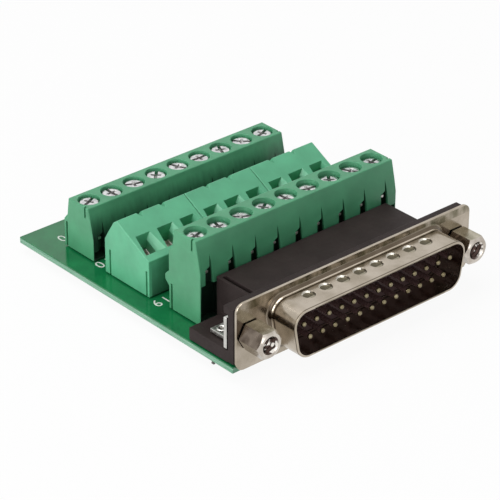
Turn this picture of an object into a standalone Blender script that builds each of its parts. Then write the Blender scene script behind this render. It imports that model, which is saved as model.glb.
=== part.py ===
"""Breakout adapter: a 25-way right-angle D-sub plug on a board with three rows of screw terminals.

Every piece is modelled in the adapter's own frame: X runs along the connector, Y runs back from the
flange's front face and Z rises from the board's top face. One empty then sets that frame on the
ground, with the solder pins' tips at Z = 0 and the whole outline centred in X and Y.
"""
import math

import bmesh
import bpy
from mathutils import Matrix, Vector

# Contacts
CONTACT_PITCH = 0.00277
CONTACT_ROW_SPACING = 0.00284
CONTACTS_IN_TOP_ROW = 13
CONTACT_SIDE_MARGIN = 0.00286
CONTACT_RADIUS = 0.0005
CONTACT_LENGTH = 0.0052
CONTACT_TIP_RADIUS = 0.00025
CONTACT_TIP_LENGTH = 0.00035
TAIL_WIDTH = 0.0006
TAIL_ROW_SPACING = 0.00254
TAIL_MARGIN = 0.0014

# Metal shell and flange of the connector
SHELL_HEIGHT = 0.00836
SHELL_WALL = 0.00042
SHELL_LENGTH = 0.0061
SHELL_CORNER_RADIUS = 0.0024
SHELL_SIDE_ANGLE = math.radians(10)
SHELL_ROOT_RADIUS = 0.0009
INSULATOR_LIFT = 0.0004
FLANGE_EAR = 0.003
FLANGE_HEIGHT = 0.01255
FLANGE_THICKNESS = 0.0005
FLANGE_CORNER_RADIUS = 0.0016
DIMPLE_COUNT = 8
DIMPLE_PITCH = 0.0038
DIMPLE_RADIUS = 0.001
DIMPLE_DEPTH = 0.0002
DIMPLE_FROM_FLANGE = 0.0026

# Hexagonal standoffs
STANDOFF_FROM_SHELL = 0.00362
STANDOFF_ACROSS_FLATS = 0.00475
STANDOFF_LENGTH = 0.0047
STANDOFF_CHAMFER = 0.0004
STANDOFF_BORE_RADIUS = 0.00125
STANDOFF_FLOOR = 0.0011
STANDOFF_MOUTH_RADIUS = 0.0017
STUD_RADIUS = 0.0013
STUD_HOLE_RADIUS = 0.0016
STUD_PROTRUSION = 0.0012

# Black plastic body behind the flange
BACKING_LIFT = 0.0004
BACKING_HEIGHT = 0.01026
BACKING_DEPTH = 0.0025
BODY_SIDE_MARGIN = 0.00278
BODY_HEIGHT = 0.0089
BODY_DEPTH = 0.01255
FOOT_HEIGHT = 0.0024
FOOT_DEPTH = 0.0112
EAR_THICKNESS = 0.0015
TOP_GROOVE_WIDTH = 0.0008
TOP_GROOVE_DEPTH = 0.0012
TOP_GROOVE_RIM = 0.0005
TOP_GROOVE_END_WALL = 0.0009

# Ground straps and the eyelets that fasten them
STRAP_THICKNESS = 0.00075
STRAP_WIDTH = 0.0055
STRAP_ABOVE_STUD = 0.0034
STRAP_FOOT_WIDTH = 0.003
STRAP_FOOT_LENGTH = 0.0058
EYELET_RADIUS = 0.0009
EYELET_BORE_RADIUS = 0.0005
EYELET_RIM_RADIUS = 0.0013
EYELET_RIM_HEIGHT = 0.0005
EYELET_FROM_STRAP_END = 0.0017
EYELET_TAIL = 0.0006

# Board
BOARD_SIDE_MARGIN = 0.00018
BOARD_REAR_MARGIN = 0.00775
BOARD_THICKNESS = 0.0012
PIN_STICK_OUT = 0.0019

# Straight terminal rows at the front and the rear
POLES = 9
PITCH = 0.005
ROW_CENTRE_X = -0.0002
ROW_END_MARGIN = 0.0024
ROW_DEPTH = 0.00815
FRONT_ROW_GAP = 0.00035
FRONT_ROW_HEIGHT = 0.0158
REAR_ROW_GAP = 0.00395
REAR_ROW_HEIGHT = 0.0101
TOP_FRONT_SETBACK = 0.00125
TOP_REAR_SETBACK = 0.00145
KNEE_DROP = 0.0057
CHEEK_SETBACK = 0.00045
CHEEK_RISE = 0.0023
SHOULDER_DROP = 0.0034
SHOULDER_RISE = 0.0011
SHOULDER_WIDTH = 0.00095
LEDGE_DEPTH = 0.001
LEDGE_THICKNESS = 0.001
LEDGE_HEIGHT = 0.0055
LEDGE_SLOPE = 0.001
END_SLOT_Y = 0.0021
END_SLOT_WIDTH = 0.0004
END_SLOT_HEIGHT = 0.0021
END_SLOT_DEPTH = 0.0005
KEY_GROOVE_Y = 0.0074
KEY_GROOVE_WIDTH = 0.00045
KEY_GROOVE_HEIGHT = 0.0052
RECESS_RADIUS = 0.00195
RECESS_DEPTH = 0.0042
SHANK_HOLE_RADIUS = 0.00145
WIRE_MOUTH_SIZE = 0.0034
WIRE_MOUTH_DEPTH = 0.0018
CLAMP_SIZE = 0.0025
WIRE_AXIS_DROP = 0.0076
WIRE_END_WALL = 0.0027
POCKET_HALF_WIDTH = 0.0019
POCKET_DEPTH = 0.0017
POCKET_DROP = 0.0079
POCKET_SLOPE = 0.0008
POCKET_FLOOR = 0.0005
SLIT_DEPTH = 0.0015
SLIT_DROP = 0.0028
SLIT_WIDTH = 0.0006
WINDOW_DROP = 0.0054
WINDOW_WIDTH = 0.001
TERMINAL_PIN_WIDTH = 0.0009

# Middle row of slanted modules
MODULES = 3
POLES_IN_MODULE = 3
MODULE_GAP = 0.0001
MIDDLE_ROW_CENTRE_X = -0.0007
MIDDLE_ROW_GAP = 0.0036
MIDDLE_DEPTH = 0.01195
MIDDLE_KNEE_HEIGHT = 0.0072
MIDDLE_REAR_KNEE_HEIGHT = 0.00685
RIDGE_FROM_REAR = 0.00345
RIDGE_HEIGHT = 0.0116
RIDGE_CHAMFER_WIDTH = 0.00095
RIDGE_CHAMFER_DROP = 0.0007
MIDDLE_GROOVE_FROM_FACE = 0.00065
MIDDLE_GROOVE_FROM_REAR = 0.00145
FUNNEL_LIP = 0.0012
FUNNEL_LENGTH = 0.0036
FUNNEL_DEPTH = 0.0028
RIB_TOP_WIDTH = 0.0016
RIB_CREST_WIDTH = 0.0003
END_WALL_TOP = 0.0011
END_WALL_BOTTOM = 0.0005
THROAT_WIDTH = 0.003
THROAT_LENGTH = 0.0022
THROAT_PAST_SCREW_AXIS = 0.0009
RIDGE_NOTCH_WIDTH = 0.0009
RIDGE_NOTCH_DEPTH = 0.0006
RIDGE_NOTCH_LENGTH = 0.001
MIDDLE_RECESS_DEPTH = 0.0022
MIDDLE_BORE_INTO_THROAT = 0.0003
MIDDLE_PIN_FROM_FRONT = 0.0062

# Terminal screws
SCREW_HEAD_RADIUS = 0.0017
SCREW_HEAD_HEIGHT = 0.0012
SCREW_SHANK_RADIUS = 0.0012
SCREW_SHANK_LENGTH = 0.0038
MIDDLE_SHANK_LENGTH = 0.003
SCREW_SLOT_WIDTH = 0.0006
SCREW_SLOT_DEPTH = 0.0006
FRONT_SCREW_SINK = 0.0009
REAR_SCREW_SINK = 0.0004
MIDDLE_SCREW_SINK = 0.0005
FRONT_FIRST_TURN = 12
REAR_FIRST_TURN = 25
MIDDLE_FIRST_TURN = 40
TURN_STEP = 67

# Gaps, margins and how finely round shapes are faceted
SEAT_GAP = 0.00025
CUT_MARGIN = 0.001
ROUND_SIDES = 16
SMALL_SIDES = 10
TINY_SIDES = 8
CORNER_STEPS = 4
FILLET_STEPS = 3
SMOOTH_ANGLE = math.radians(40)

# Connector sizes that follow from its contacts
CONTACT_SPAN = (CONTACTS_IN_TOP_ROW - 1) * CONTACT_PITCH
SHELL_WIDTH = CONTACT_SPAN + 2 * CONTACT_SIDE_MARGIN
STANDOFF_X = SHELL_WIDTH / 2 + SHELL_WALL + STANDOFF_FROM_SHELL
FLANGE_HALF_WIDTH = STANDOFF_X + FLANGE_EAR
CONNECTOR_AXIS_HEIGHT = BACKING_LIFT + BACKING_HEIGHT / 2
BODY_HALF_WIDTH = CONTACT_SPAN / 2 + BODY_SIDE_MARGIN

# Places along Y, each behind the piece in front of it
BACKING_FRONT = FLANGE_THICKNESS + SEAT_GAP
BODY_BACK = BACKING_FRONT + BODY_DEPTH
STRAP_FRONT = BACKING_FRONT + EAR_THICKNESS + SEAT_GAP
EYELET_Y = STRAP_FRONT + STRAP_FOOT_LENGTH - EYELET_FROM_STRAP_END
TAIL_FIRST_Y = BODY_BACK - TAIL_MARGIN - TAIL_ROW_SPACING
FRONT_ROW_Y = BODY_BACK + FRONT_ROW_GAP
MIDDLE_ROW_Y = FRONT_ROW_Y + ROW_DEPTH + LEDGE_DEPTH + MIDDLE_ROW_GAP
REAR_ROW_Y = MIDDLE_ROW_Y + MIDDLE_DEPTH + REAR_ROW_GAP
BOARD_BACK = REAR_ROW_Y + ROW_DEPTH + BOARD_REAR_MARGIN

# Lengths of the terminal rows, and the board that carries them
ROW_HALF_LENGTH = (POLES - 1) / 2 * PITCH + ROW_END_MARGIN
MODULE_LENGTH = POLES_IN_MODULE * PITCH - MODULE_GAP
MIDDLE_HALF_LENGTH = (MODULES * (MODULE_LENGTH + MODULE_GAP) - MODULE_GAP) / 2
STRAIGHT_ROW_REACH = ROW_HALF_LENGTH + abs(ROW_CENTRE_X)
MIDDLE_ROW_REACH = MIDDLE_HALF_LENGTH + abs(MIDDLE_ROW_CENTRE_X)
BOARD_HALF_WIDTH = max(FLANGE_HALF_WIDTH, STRAIGHT_ROW_REACH, MIDDLE_ROW_REACH) + BOARD_SIDE_MARGIN
RIDGE_Y = MIDDLE_DEPTH - RIDGE_FROM_REAR


def clear_scene():
    for old in list(bpy.data.objects):
        bpy.data.objects.remove(old, do_unlink=True)


def plain_material(name, colour, roughness, metallic):
    material = bpy.data.materials.new(name)
    material.use_nodes = True
    shader = material.node_tree.nodes["Principled BSDF"]
    shader.inputs["Base Color"].default_value = (*colour, 1.0)
    shader.inputs["Roughness"].default_value = roughness
    shader.inputs["Metallic"].default_value = metallic
    return material


def straight_row_plastic():
    return plain_material("green_plastic", (0.08, 0.33, 0.17), 0.45, 0.0)


def module_plastic():
    return plain_material("mint_plastic", (0.18, 0.52, 0.32), 0.45, 0.0)


def body_plastic():
    return plain_material("black_plastic", (0.03, 0.028, 0.028), 0.5, 0.0)


def insulator_plastic():
    return plain_material("brown_plastic", (0.022, 0.014, 0.016), 0.5, 0.0)


def solder_mask():
    return plain_material("green_solder_mask", (0.02, 0.22, 0.08), 0.35, 0.0)


def shell_nickel():
    return plain_material("shell_nickel", (0.62, 0.58, 0.50), 0.28, 1.0)


def standoff_nickel():
    return plain_material("standoff_nickel", (0.66, 0.62, 0.55), 0.3, 1.0)


def strap_tin():
    return plain_material("strap_tin", (0.62, 0.61, 0.58), 0.4, 1.0)


def screw_zinc():
    return plain_material("screw_zinc", (0.66, 0.66, 0.66), 0.3, 1.0)


def add_loft(bm, rings):
    """Adds a closed solid through rings of equally many points, with its two ends capped."""
    loops = [[bm.verts.new(point) for point in ring] for ring in rings]
    faces = [bm.faces.new(loops[0]), bm.faces.new(loops[-1])]
    count = len(loops[0])
    for near, far in zip(loops, loops[1:]):
        for i in range(count):
            j = (i + 1) % count
            faces.append(bm.faces.new((near[i], near[j], far[j], far[i])))
    bmesh.ops.recalc_face_normals(bm, faces=faces)


def add_prism(bm, outline, axis, start, end):
    """Adds the solid that an outline sweeps along X, Y or Z; its two values are the other axes'."""
    rings = []
    for along in (start, end):
        if axis == "X":
            rings.append([(along, a, b) for a, b in outline])
        elif axis == "Y":
            rings.append([(a, along, b) for a, b in outline])
        else:
            rings.append([(a, b, along) for a, b in outline])
    add_loft(bm, rings)


def add_block(bm, low, high):
    corners = [(low[0], low[1]), (high[0], low[1]), (high[0], high[1]), (low[0], high[1])]
    add_prism(bm, corners, "Z", low[2], high[2])


def add_turned(bm, profile, sides, origin=(0, 0, 0), direction=(0, 0, 1)):
    """Adds a solid turned about an axis from (radius, distance along the axis) pairs."""
    turn = Vector((0, 0, 1)).rotation_difference(Vector(direction)).to_matrix()
    rings = []
    for radius, along in profile:
        ring = []
        for i in range(sides):
            angle = 2 * math.pi * (i + 0.5) / sides
            point = Vector((radius * math.cos(angle), radius * math.sin(angle), along))
            ring.append(Vector(origin) + turn @ point)
        rings.append(ring)
    add_loft(bm, rings)


def add_object(name, bm, parent, material=None, smooth=False):
    mesh = bpy.data.meshes.new(name)
    bm.to_mesh(mesh)
    bm.free()
    if smooth:
        mesh.shade_smooth()
        mesh.set_sharp_from_angle(angle=SMOOTH_ANGLE)
    if material is not None:
        mesh.materials.append(material)
    made = bpy.data.objects.new(name, mesh)
    bpy.context.collection.objects.link(made)
    made.parent = parent
    return made


def combine(target, label, bm, operation):
    """Joins a helper solid to the target, or cuts it away, with an exact Boolean."""
    helper = add_object(f"{target.name}_{label}", bm, target.parent)
    helper.hide_render = True
    helper.display_type = "WIRE"
    modifier = target.modifiers.new(label, "BOOLEAN")
    modifier.operation = operation
    modifier.object = helper
    modifier.solver = "EXACT"
    return helper


def rounded_outline(corners, radius):
    """Outline of a convex shape with each corner replaced by an arc of the same radius."""
    points = []
    count = len(corners)
    for i in range(count):
        corner = Vector(corners[i])
        before = (Vector(corners[i - 1]) - corner).normalized()
        after = (Vector(corners[(i + 1) % count]) - corner).normalized()
        half_angle = before.angle(after) / 2
        centre = corner + (before + after).normalized() * (radius / math.sin(half_angle))
        start = corner + before * (radius / math.tan(half_angle)) - centre
        sweep = math.pi - 2 * half_angle
        for k in range(CORNER_STEPS + 1):
            spin = Matrix.Rotation(sweep * k / CORNER_STEPS, 2)
            points.append(tuple(centre + spin @ start))
    return points


def shell_outline(offset):
    """The D shape, wide side up, about the connector's axis, grown by an offset."""
    lean = SHELL_HEIGHT * math.tan(SHELL_SIDE_ANGLE)
    grow = offset / math.cos(SHELL_SIDE_ANGLE)
    shift = offset * math.tan(SHELL_SIDE_ANGLE)
    top_x = SHELL_WIDTH / 2 + grow + shift
    bottom_x = SHELL_WIDTH / 2 - lean + grow - shift
    half_height = SHELL_HEIGHT / 2 + offset
    corners = [(-bottom_x, -half_height), (bottom_x, -half_height)]
    corners += [(top_x, half_height), (-top_x, half_height)]
    outline = rounded_outline(corners, SHELL_CORNER_RADIUS + offset)
    return [(x, z + CONNECTOR_AXIS_HEIGHT) for x, z in outline]


def contact_places():
    """(x, z) of each contact: the top row and, half a pitch in, the bottom row."""
    places = []
    for count, side in ((CONTACTS_IN_TOP_ROW, 0.5), (CONTACTS_IN_TOP_ROW - 1, -0.5)):
        z = CONNECTOR_AXIS_HEIGHT + side * CONTACT_ROW_SPACING
        for i in range(count):
            places.append(((i - (count - 1) / 2) * CONTACT_PITCH, z))
    return places


def tail_places():
    """(x, y) of each contact's solder tail: the bottom row bends down first."""
    places = []
    for x, z in contact_places():
        from_top_row = z > CONNECTOR_AXIS_HEIGHT
        places.append((x, TAIL_FIRST_Y + (TAIL_ROW_SPACING if from_top_row else 0)))
    return places


def row_screw_places(row_y):
    """(x, y) of each screw of a straight row, at the middle of its top face."""
    y = row_y + (TOP_FRONT_SETBACK + ROW_DEPTH - TOP_REAR_SETBACK) / 2
    first = ROW_CENTRE_X - (POLES - 1) / 2 * PITCH
    return [(first + i * PITCH, y) for i in range(POLES)]


def module_starts():
    first = MIDDLE_ROW_CENTRE_X - MIDDLE_HALF_LENGTH
    return [first + i * (MODULE_LENGTH + MODULE_GAP) for i in range(MODULES)]


def module_pole_places(start):
    centre = start + MODULE_LENGTH / 2
    return [centre + (i - (POLES_IN_MODULE - 1) / 2) * PITCH for i in range(POLES_IN_MODULE)]


def rear_slope():
    """Middle and outward normal, as (y, z), of the steep slope that holds the middle screws."""
    top = Vector((RIDGE_Y + RIDGE_CHAMFER_WIDTH, RIDGE_HEIGHT - RIDGE_CHAMFER_DROP))
    bottom = Vector((MIDDLE_DEPTH, MIDDLE_REAR_KNEE_HEIGHT))
    down = (bottom - top).normalized()
    centre = (top + bottom) / 2 + Vector((MIDDLE_ROW_Y, 0))
    return centre, Vector((-down.y, down.x))


def front_slope_height(y):
    """Height of the modules' front slope, y back from their front face."""
    return MIDDLE_KNEE_HEIGHT + (RIDGE_HEIGHT - MIDDLE_KNEE_HEIGHT) * y / RIDGE_Y


def add_pin(bm, x, y, width, top):
    """A square solder pin from inside the piece that it belongs to down through the board."""
    half = width / 2
    add_block(bm, (x - half, y - half, -BOARD_THICKNESS - PIN_STICK_OUT), (x + half, y + half, top))


def add_drill(bm, x, y, radius, sides):
    low, high = -BOARD_THICKNESS - CUT_MARGIN, CUT_MARGIN
    add_turned(bm, [(radius, low), (radius, high)], sides, (x, y, 0))


def make_board(frame):
    bm = bmesh.new()
    low = (-BOARD_HALF_WIDTH, BACKING_FRONT, -BOARD_THICKNESS)
    add_block(bm, low, (BOARD_HALF_WIDTH, BOARD_BACK, 0))
    board = add_object("printed_board", bm, frame, solder_mask())
    holes = bmesh.new()
    for x, y in tail_places():
        add_drill(holes, x, y, TAIL_WIDTH / math.sqrt(2) + SEAT_GAP / 2, TINY_SIDES)
    places = row_screw_places(FRONT_ROW_Y) + row_screw_places(REAR_ROW_Y)
    for start in module_starts():
        places += [(x, MIDDLE_ROW_Y + MIDDLE_PIN_FROM_FRONT) for x in module_pole_places(start)]
    for x, y in places:
        add_drill(holes, x, y, TERMINAL_PIN_WIDTH / math.sqrt(2) + SEAT_GAP / 2, TINY_SIDES)
    for side in (-1, 1):
        add_drill(holes, side * STANDOFF_X, EYELET_Y, EYELET_RADIUS + SEAT_GAP, SMALL_SIDES)
    combine(board, "holes", holes, "DIFFERENCE")


def circle_outline(x, z, radius):
    angles = [2 * math.pi * i / ROUND_SIDES for i in range(ROUND_SIDES)]
    return [(x + radius * math.cos(a), z + radius * math.sin(a)) for a in angles]


def shell_section():
    """(offset, y) from the shell's inner rear edge round its rim to the fillet's foot."""
    section = [(0, FLANGE_THICKNESS), (0, -SHELL_LENGTH), (SHELL_WALL, -SHELL_LENGTH)]
    for k in range(FILLET_STEPS + 1):
        angle = math.pi / 2 * k / FILLET_STEPS
        spread = SHELL_ROOT_RADIUS * (1 - math.cos(angle))
        section.append((SHELL_WALL + spread, -SHELL_ROOT_RADIUS * (1 - math.sin(angle))))
    return section


def close_plate(bm, loops):
    """Fills a flat face between its outer loop and the loops of its holes."""
    edges = []
    for loop in loops:
        for i, vert in enumerate(loop):
            edges.append(bm.edges.get((vert, loop[(i + 1) % len(loop)])))
    bmesh.ops.triangle_fill(bm, edges=edges, use_beauty=True)


def press_dimples(shell):
    """Row of shallow dimples across the shell's top and underside."""
    dimples = bmesh.new()
    profile = [(DIMPLE_RADIUS / 2, -DIMPLE_DEPTH), (DIMPLE_RADIUS, 0), (DIMPLE_RADIUS, CUT_MARGIN)]
    for side in (-1, 1):
        z = CONNECTOR_AXIS_HEIGHT + side * (SHELL_HEIGHT / 2 + SHELL_WALL)
        for i in range(DIMPLE_COUNT):
            x = (i - (DIMPLE_COUNT - 1) / 2) * DIMPLE_PITCH
            add_turned(dimples, profile, TINY_SIDES, (x, -DIMPLE_FROM_FLANGE, z), (0, 0, side))
    combine(shell, "dimples", dimples, "DIFFERENCE")


def make_shell(frame):
    """Flange plate and D-shaped collar, drawn as one piece of sheet metal."""
    half_height = FLANGE_HEIGHT / 2
    corners = [(-FLANGE_HALF_WIDTH, -half_height), (FLANGE_HALF_WIDTH, -half_height)]
    corners += [(FLANGE_HALF_WIDTH, half_height), (-FLANGE_HALF_WIDTH, half_height)]
    rim = rounded_outline(corners, FLANGE_CORNER_RADIUS)
    outlines = [[(x, z + CONNECTOR_AXIS_HEIGHT) for x, z in rim]]
    for x in (-STANDOFF_X, STANDOFF_X):
        outlines.append(circle_outline(x, CONNECTOR_AXIS_HEIGHT, STUD_HOLE_RADIUS))
    bm = bmesh.new()
    collar = [[bm.verts.new((x, y, z)) for x, z in shell_outline(offset)] for offset, y in shell_section()]
    front = [[bm.verts.new((x, 0, z)) for x, z in outline] for outline in outlines]
    rear = [[bm.verts.new((x, FLANGE_THICKNESS, z)) for x, z in outline] for outline in outlines]
    for near, far in list(zip(collar, collar[1:])) + list(zip(front, rear)):
        count = len(near)
        for i in range(count):
            j = (i + 1) % count
            bm.faces.new((near[i], near[j], far[j], far[i]))
    close_plate(bm, front + [collar[-1]])
    close_plate(bm, rear + [collar[0]])
    bmesh.ops.recalc_face_normals(bm, faces=bm.faces)
    shell = add_object("connector_shell", bm, frame, shell_nickel(), smooth=True)
    press_dimples(shell)


def make_insulator(frame):
    """Dark moulding at the bottom of the shell; the contact pins that stand in it are part of it."""
    bm = bmesh.new()
    add_prism(bm, shell_outline(-SEAT_GAP), "Y", -INSULATOR_LIFT, FLANGE_THICKNESS)
    insulator = add_object("contact_insulator", bm, frame, insulator_plastic(), smooth=True)
    pins = bmesh.new()
    shoulder = CONTACT_LENGTH - CONTACT_TIP_LENGTH
    profile = [(CONTACT_RADIUS, -INSULATOR_LIFT), (CONTACT_RADIUS, shoulder)]
    profile.append((CONTACT_TIP_RADIUS, CONTACT_LENGTH))
    for x, z in contact_places():
        add_turned(pins, profile, SMALL_SIDES, (x, -INSULATOR_LIFT, z), (0, -1, 0))
    combine(insulator, "pins", pins, "UNION")


def cut_strap_seats(body):
    """Recess in each ear of the backing plate for the upright leg of its strap."""
    seats = bmesh.new()
    top = CONNECTOR_AXIS_HEIGHT + STRAP_ABOVE_STUD + SEAT_GAP
    back = BACKING_FRONT + BACKING_DEPTH + STRAP_THICKNESS
    for side in (-1, 1):
        inner, outer = FLANGE_HALF_WIDTH - STRAP_WIDTH - SEAT_GAP, FLANGE_HALF_WIDTH + CUT_MARGIN
        near, far = sorted((side * inner, side * outer))
        add_block(seats, (near, STRAP_FRONT - SEAT_GAP, FOOT_HEIGHT), (far, back, top))
    combine(body, "strap_seats", seats, "DIFFERENCE")


def cut_fastener_holes(body):
    holes = bmesh.new()
    for side in (-1, 1):
        x = side * STANDOFF_X
        through = [(STUD_HOLE_RADIUS, 0), (STUD_HOLE_RADIUS, STRAP_FRONT + BACKING_DEPTH)]
        add_turned(holes, through, SMALL_SIDES, (x, 0, CONNECTOR_AXIS_HEIGHT), (0, 1, 0))
        radius = EYELET_RADIUS + SEAT_GAP
        add_turned(holes, [(radius, 0), (radius, FOOT_HEIGHT + CUT_MARGIN)], SMALL_SIDES, (x, EYELET_Y, 0))
    combine(body, "fastener_holes", holes, "DIFFERENCE")


def cut_top_groove(body):
    """Narrow slot beside the left edge of the box's top."""
    groove = bmesh.new()
    left = TOP_GROOVE_RIM - BODY_HALF_WIDTH
    low = (left, BACKING_FRONT + BACKING_DEPTH, BODY_HEIGHT - TOP_GROOVE_DEPTH)
    high = (left + TOP_GROOVE_WIDTH, BODY_BACK - TOP_GROOVE_END_WALL, BODY_HEIGHT + CUT_MARGIN)
    add_block(groove, low, high)
    combine(body, "top_groove", groove, "DIFFERENCE")


def make_body(frame):
    """Moulded body: backing plate, box over the contact tails, two feet and the tails themselves."""
    bm = bmesh.new()
    low = (-FLANGE_HALF_WIDTH, BACKING_FRONT, BACKING_LIFT)
    high = (FLANGE_HALF_WIDTH, BACKING_FRONT + BACKING_DEPTH, BACKING_LIFT + BACKING_HEIGHT)
    add_block(bm, low, high)
    body = add_object("connector_body", bm, frame, body_plastic())
    feet = bmesh.new()
    ear_back = BACKING_FRONT + EAR_THICKNESS
    low = (-FLANGE_HALF_WIDTH, ear_back, SEAT_GAP)
    add_block(feet, low, (FLANGE_HALF_WIDTH, BACKING_FRONT + FOOT_DEPTH, FOOT_HEIGHT))
    combine(body, "feet", feet, "UNION")
    box = bmesh.new()
    add_block(box, (-BODY_HALF_WIDTH, ear_back, SEAT_GAP), (BODY_HALF_WIDTH, BODY_BACK, BODY_HEIGHT))
    combine(body, "box", box, "UNION")
    tails = bmesh.new()
    for x, y in tail_places():
        add_pin(tails, x, y, TAIL_WIDTH, FOOT_HEIGHT / 2)
    combine(body, "tails", tails, "UNION")
    cut_strap_seats(body)
    cut_fastener_holes(body)
    cut_top_groove(body)


def make_strap(name, side, frame, material):
    """Bent metal strap: an upright leg behind the flange's ear and a narrower foot on the body's."""
    outer = side * FLANGE_HALF_WIDTH
    inner = outer - side * STRAP_WIDTH
    base = FOOT_HEIGHT + SEAT_GAP
    leg_back = STRAP_FRONT + STRAP_THICKNESS
    bm = bmesh.new()
    low = (min(inner, outer), STRAP_FRONT, base)
    add_block(bm, low, (max(inner, outer), leg_back, CONNECTOR_AXIS_HEIGHT + STRAP_ABOVE_STUD))
    strap = add_object(name, bm, frame, material)
    x, half = side * STANDOFF_X, STRAP_FOOT_WIDTH / 2
    foot = bmesh.new()
    low = (x - half, STRAP_FRONT + STRAP_THICKNESS / 2, base)
    add_block(foot, low, (x + half, STRAP_FRONT + STRAP_FOOT_LENGTH, base + STRAP_THICKNESS))
    combine(strap, "foot", foot, "UNION")
    holes = bmesh.new()
    through = [(STUD_HOLE_RADIUS, 0), (STUD_HOLE_RADIUS, leg_back + CUT_MARGIN)]
    add_turned(holes, through, SMALL_SIDES, (x, 0, CONNECTOR_AXIS_HEIGHT), (0, 1, 0))
    radius = EYELET_RADIUS + SEAT_GAP
    through = [(radius, 0), (radius, base + STRAP_THICKNESS + CUT_MARGIN)]
    add_turned(holes, through, SMALL_SIDES, (x, EYELET_Y, 0))
    combine(strap, "holes", holes, "DIFFERENCE")


def make_eyelet(name, side, frame, material):
    """Hollow rivet through the strap's foot, the body's foot and the board."""
    rim_base = FOOT_HEIGHT + STRAP_THICKNESS + 2 * SEAT_GAP
    bottom, top = -BOARD_THICKNESS - EYELET_TAIL, rim_base + EYELET_RIM_HEIGHT
    profile = [(EYELET_RADIUS, bottom), (EYELET_RADIUS, rim_base), (EYELET_RIM_RADIUS, rim_base)]
    profile += [(EYELET_RIM_RADIUS, rim_base + EYELET_RIM_HEIGHT / 2), (EYELET_RADIUS, top)]
    centre = (side * STANDOFF_X, EYELET_Y, 0)
    bm = bmesh.new()
    add_turned(bm, profile, SMALL_SIDES, centre)
    eyelet = add_object(name, bm, frame, material, smooth=True)
    bore = bmesh.new()
    through = [(EYELET_BORE_RADIUS, bottom - CUT_MARGIN), (EYELET_BORE_RADIUS, top + CUT_MARGIN)]
    add_turned(bore, through, SMALL_SIDES, centre)
    combine(eyelet, "bore", bore, "DIFFERENCE")


def make_standoff(name, side, frame, material):
    """Hexagonal standoff with a chamfered mouth; its stud passes through flange, body and strap."""
    corner = STANDOFF_ACROSS_FLATS / math.sqrt(3)
    base = (side * STANDOFF_X, -SEAT_GAP, CONNECTOR_AXIS_HEIGHT)
    chamfer_base = STANDOFF_LENGTH - STANDOFF_CHAMFER
    bm = bmesh.new()
    profile = [(corner, 0), (corner, chamfer_base), (corner - STANDOFF_CHAMFER, STANDOFF_LENGTH)]
    add_turned(bm, profile, 6, base, (0, -1, 0))
    standoff = add_object(name, bm, frame, material)
    stud = bmesh.new()
    stud_end = STRAP_FRONT + STRAP_THICKNESS + STUD_PROTRUSION
    profile = [(STUD_RADIUS, -STANDOFF_FLOOR / 2), (STUD_RADIUS, stud_end + SEAT_GAP)]
    add_turned(stud, profile, SMALL_SIDES, base, (0, 1, 0))
    combine(standoff, "stud", stud, "UNION")
    bore = bmesh.new()
    mouth_base = STANDOFF_LENGTH + STANDOFF_BORE_RADIUS - STANDOFF_MOUTH_RADIUS
    profile = [(STANDOFF_BORE_RADIUS, STANDOFF_FLOOR), (STANDOFF_BORE_RADIUS, mouth_base)]
    profile.append((STANDOFF_MOUTH_RADIUS, STANDOFF_LENGTH))
    profile.append((STANDOFF_MOUTH_RADIUS, STANDOFF_LENGTH + CUT_MARGIN))
    add_turned(bore, profile, SMALL_SIDES, base, (0, -1, 0))
    combine(standoff, "bore", bore, "DIFFERENCE")


def row_profile(height, with_ledge):
    """Section of a straight terminal row, as (y, z), from the foot of its front face."""
    shoulder_top = height - SHOULDER_DROP
    knee = height - KNEE_DROP
    points = [(0, SEAT_GAP), (ROW_DEPTH, SEAT_GAP)]
    if with_ledge:
        out, ledge_top = ROW_DEPTH + LEDGE_DEPTH, LEDGE_HEIGHT + LEDGE_THICKNESS
        points += [(ROW_DEPTH, LEDGE_HEIGHT - LEDGE_SLOPE), (out, LEDGE_HEIGHT)]
        points += [(out, ledge_top), (ROW_DEPTH, ledge_top + LEDGE_SLOPE)]
    points += [(ROW_DEPTH, shoulder_top - SHOULDER_RISE), (ROW_DEPTH - SHOULDER_WIDTH, shoulder_top)]
    points += [(ROW_DEPTH - TOP_REAR_SETBACK, height), (TOP_FRONT_SETBACK, height)]
    points += [(CHEEK_SETBACK, knee + CHEEK_RISE), (0, knee)]
    return points


def cut_screw_bores(housing, places, height):
    bores = bmesh.new()
    step = height - RECESS_DEPTH
    profile = [(SHANK_HOLE_RADIUS, height - WIRE_AXIS_DROP), (SHANK_HOLE_RADIUS, step)]
    profile += [(RECESS_RADIUS, step), (RECESS_RADIUS, height + CUT_MARGIN)]
    for x, y in places:
        add_turned(bores, profile, ROUND_SIDES, (x, y, 0))
    combine(housing, "screw_bores", bores, "DIFFERENCE")


def cut_wire_entries(housing, places, row_y, height):
    """Square mouths in the rear face that narrow to the clamps under the screws."""
    entries = bmesh.new()
    back, z = row_y + ROW_DEPTH, height - WIRE_AXIS_DROP
    sections = [(WIRE_MOUTH_SIZE / 2, back + LEDGE_DEPTH + CUT_MARGIN), (WIRE_MOUTH_SIZE / 2, back)]
    sections += [(CLAMP_SIZE / 2, back - WIRE_MOUTH_DEPTH), (CLAMP_SIZE / 2, row_y + WIRE_END_WALL)]
    for x, _ in places:
        rings = []
        for h, y in sections:
            rings.append([(x - h, y, z - h), (x + h, y, z - h), (x + h, y, z + h), (x - h, y, z + h)])
        add_loft(entries, rings)
    combine(housing, "wire_entries", entries, "DIFFERENCE")


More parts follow.
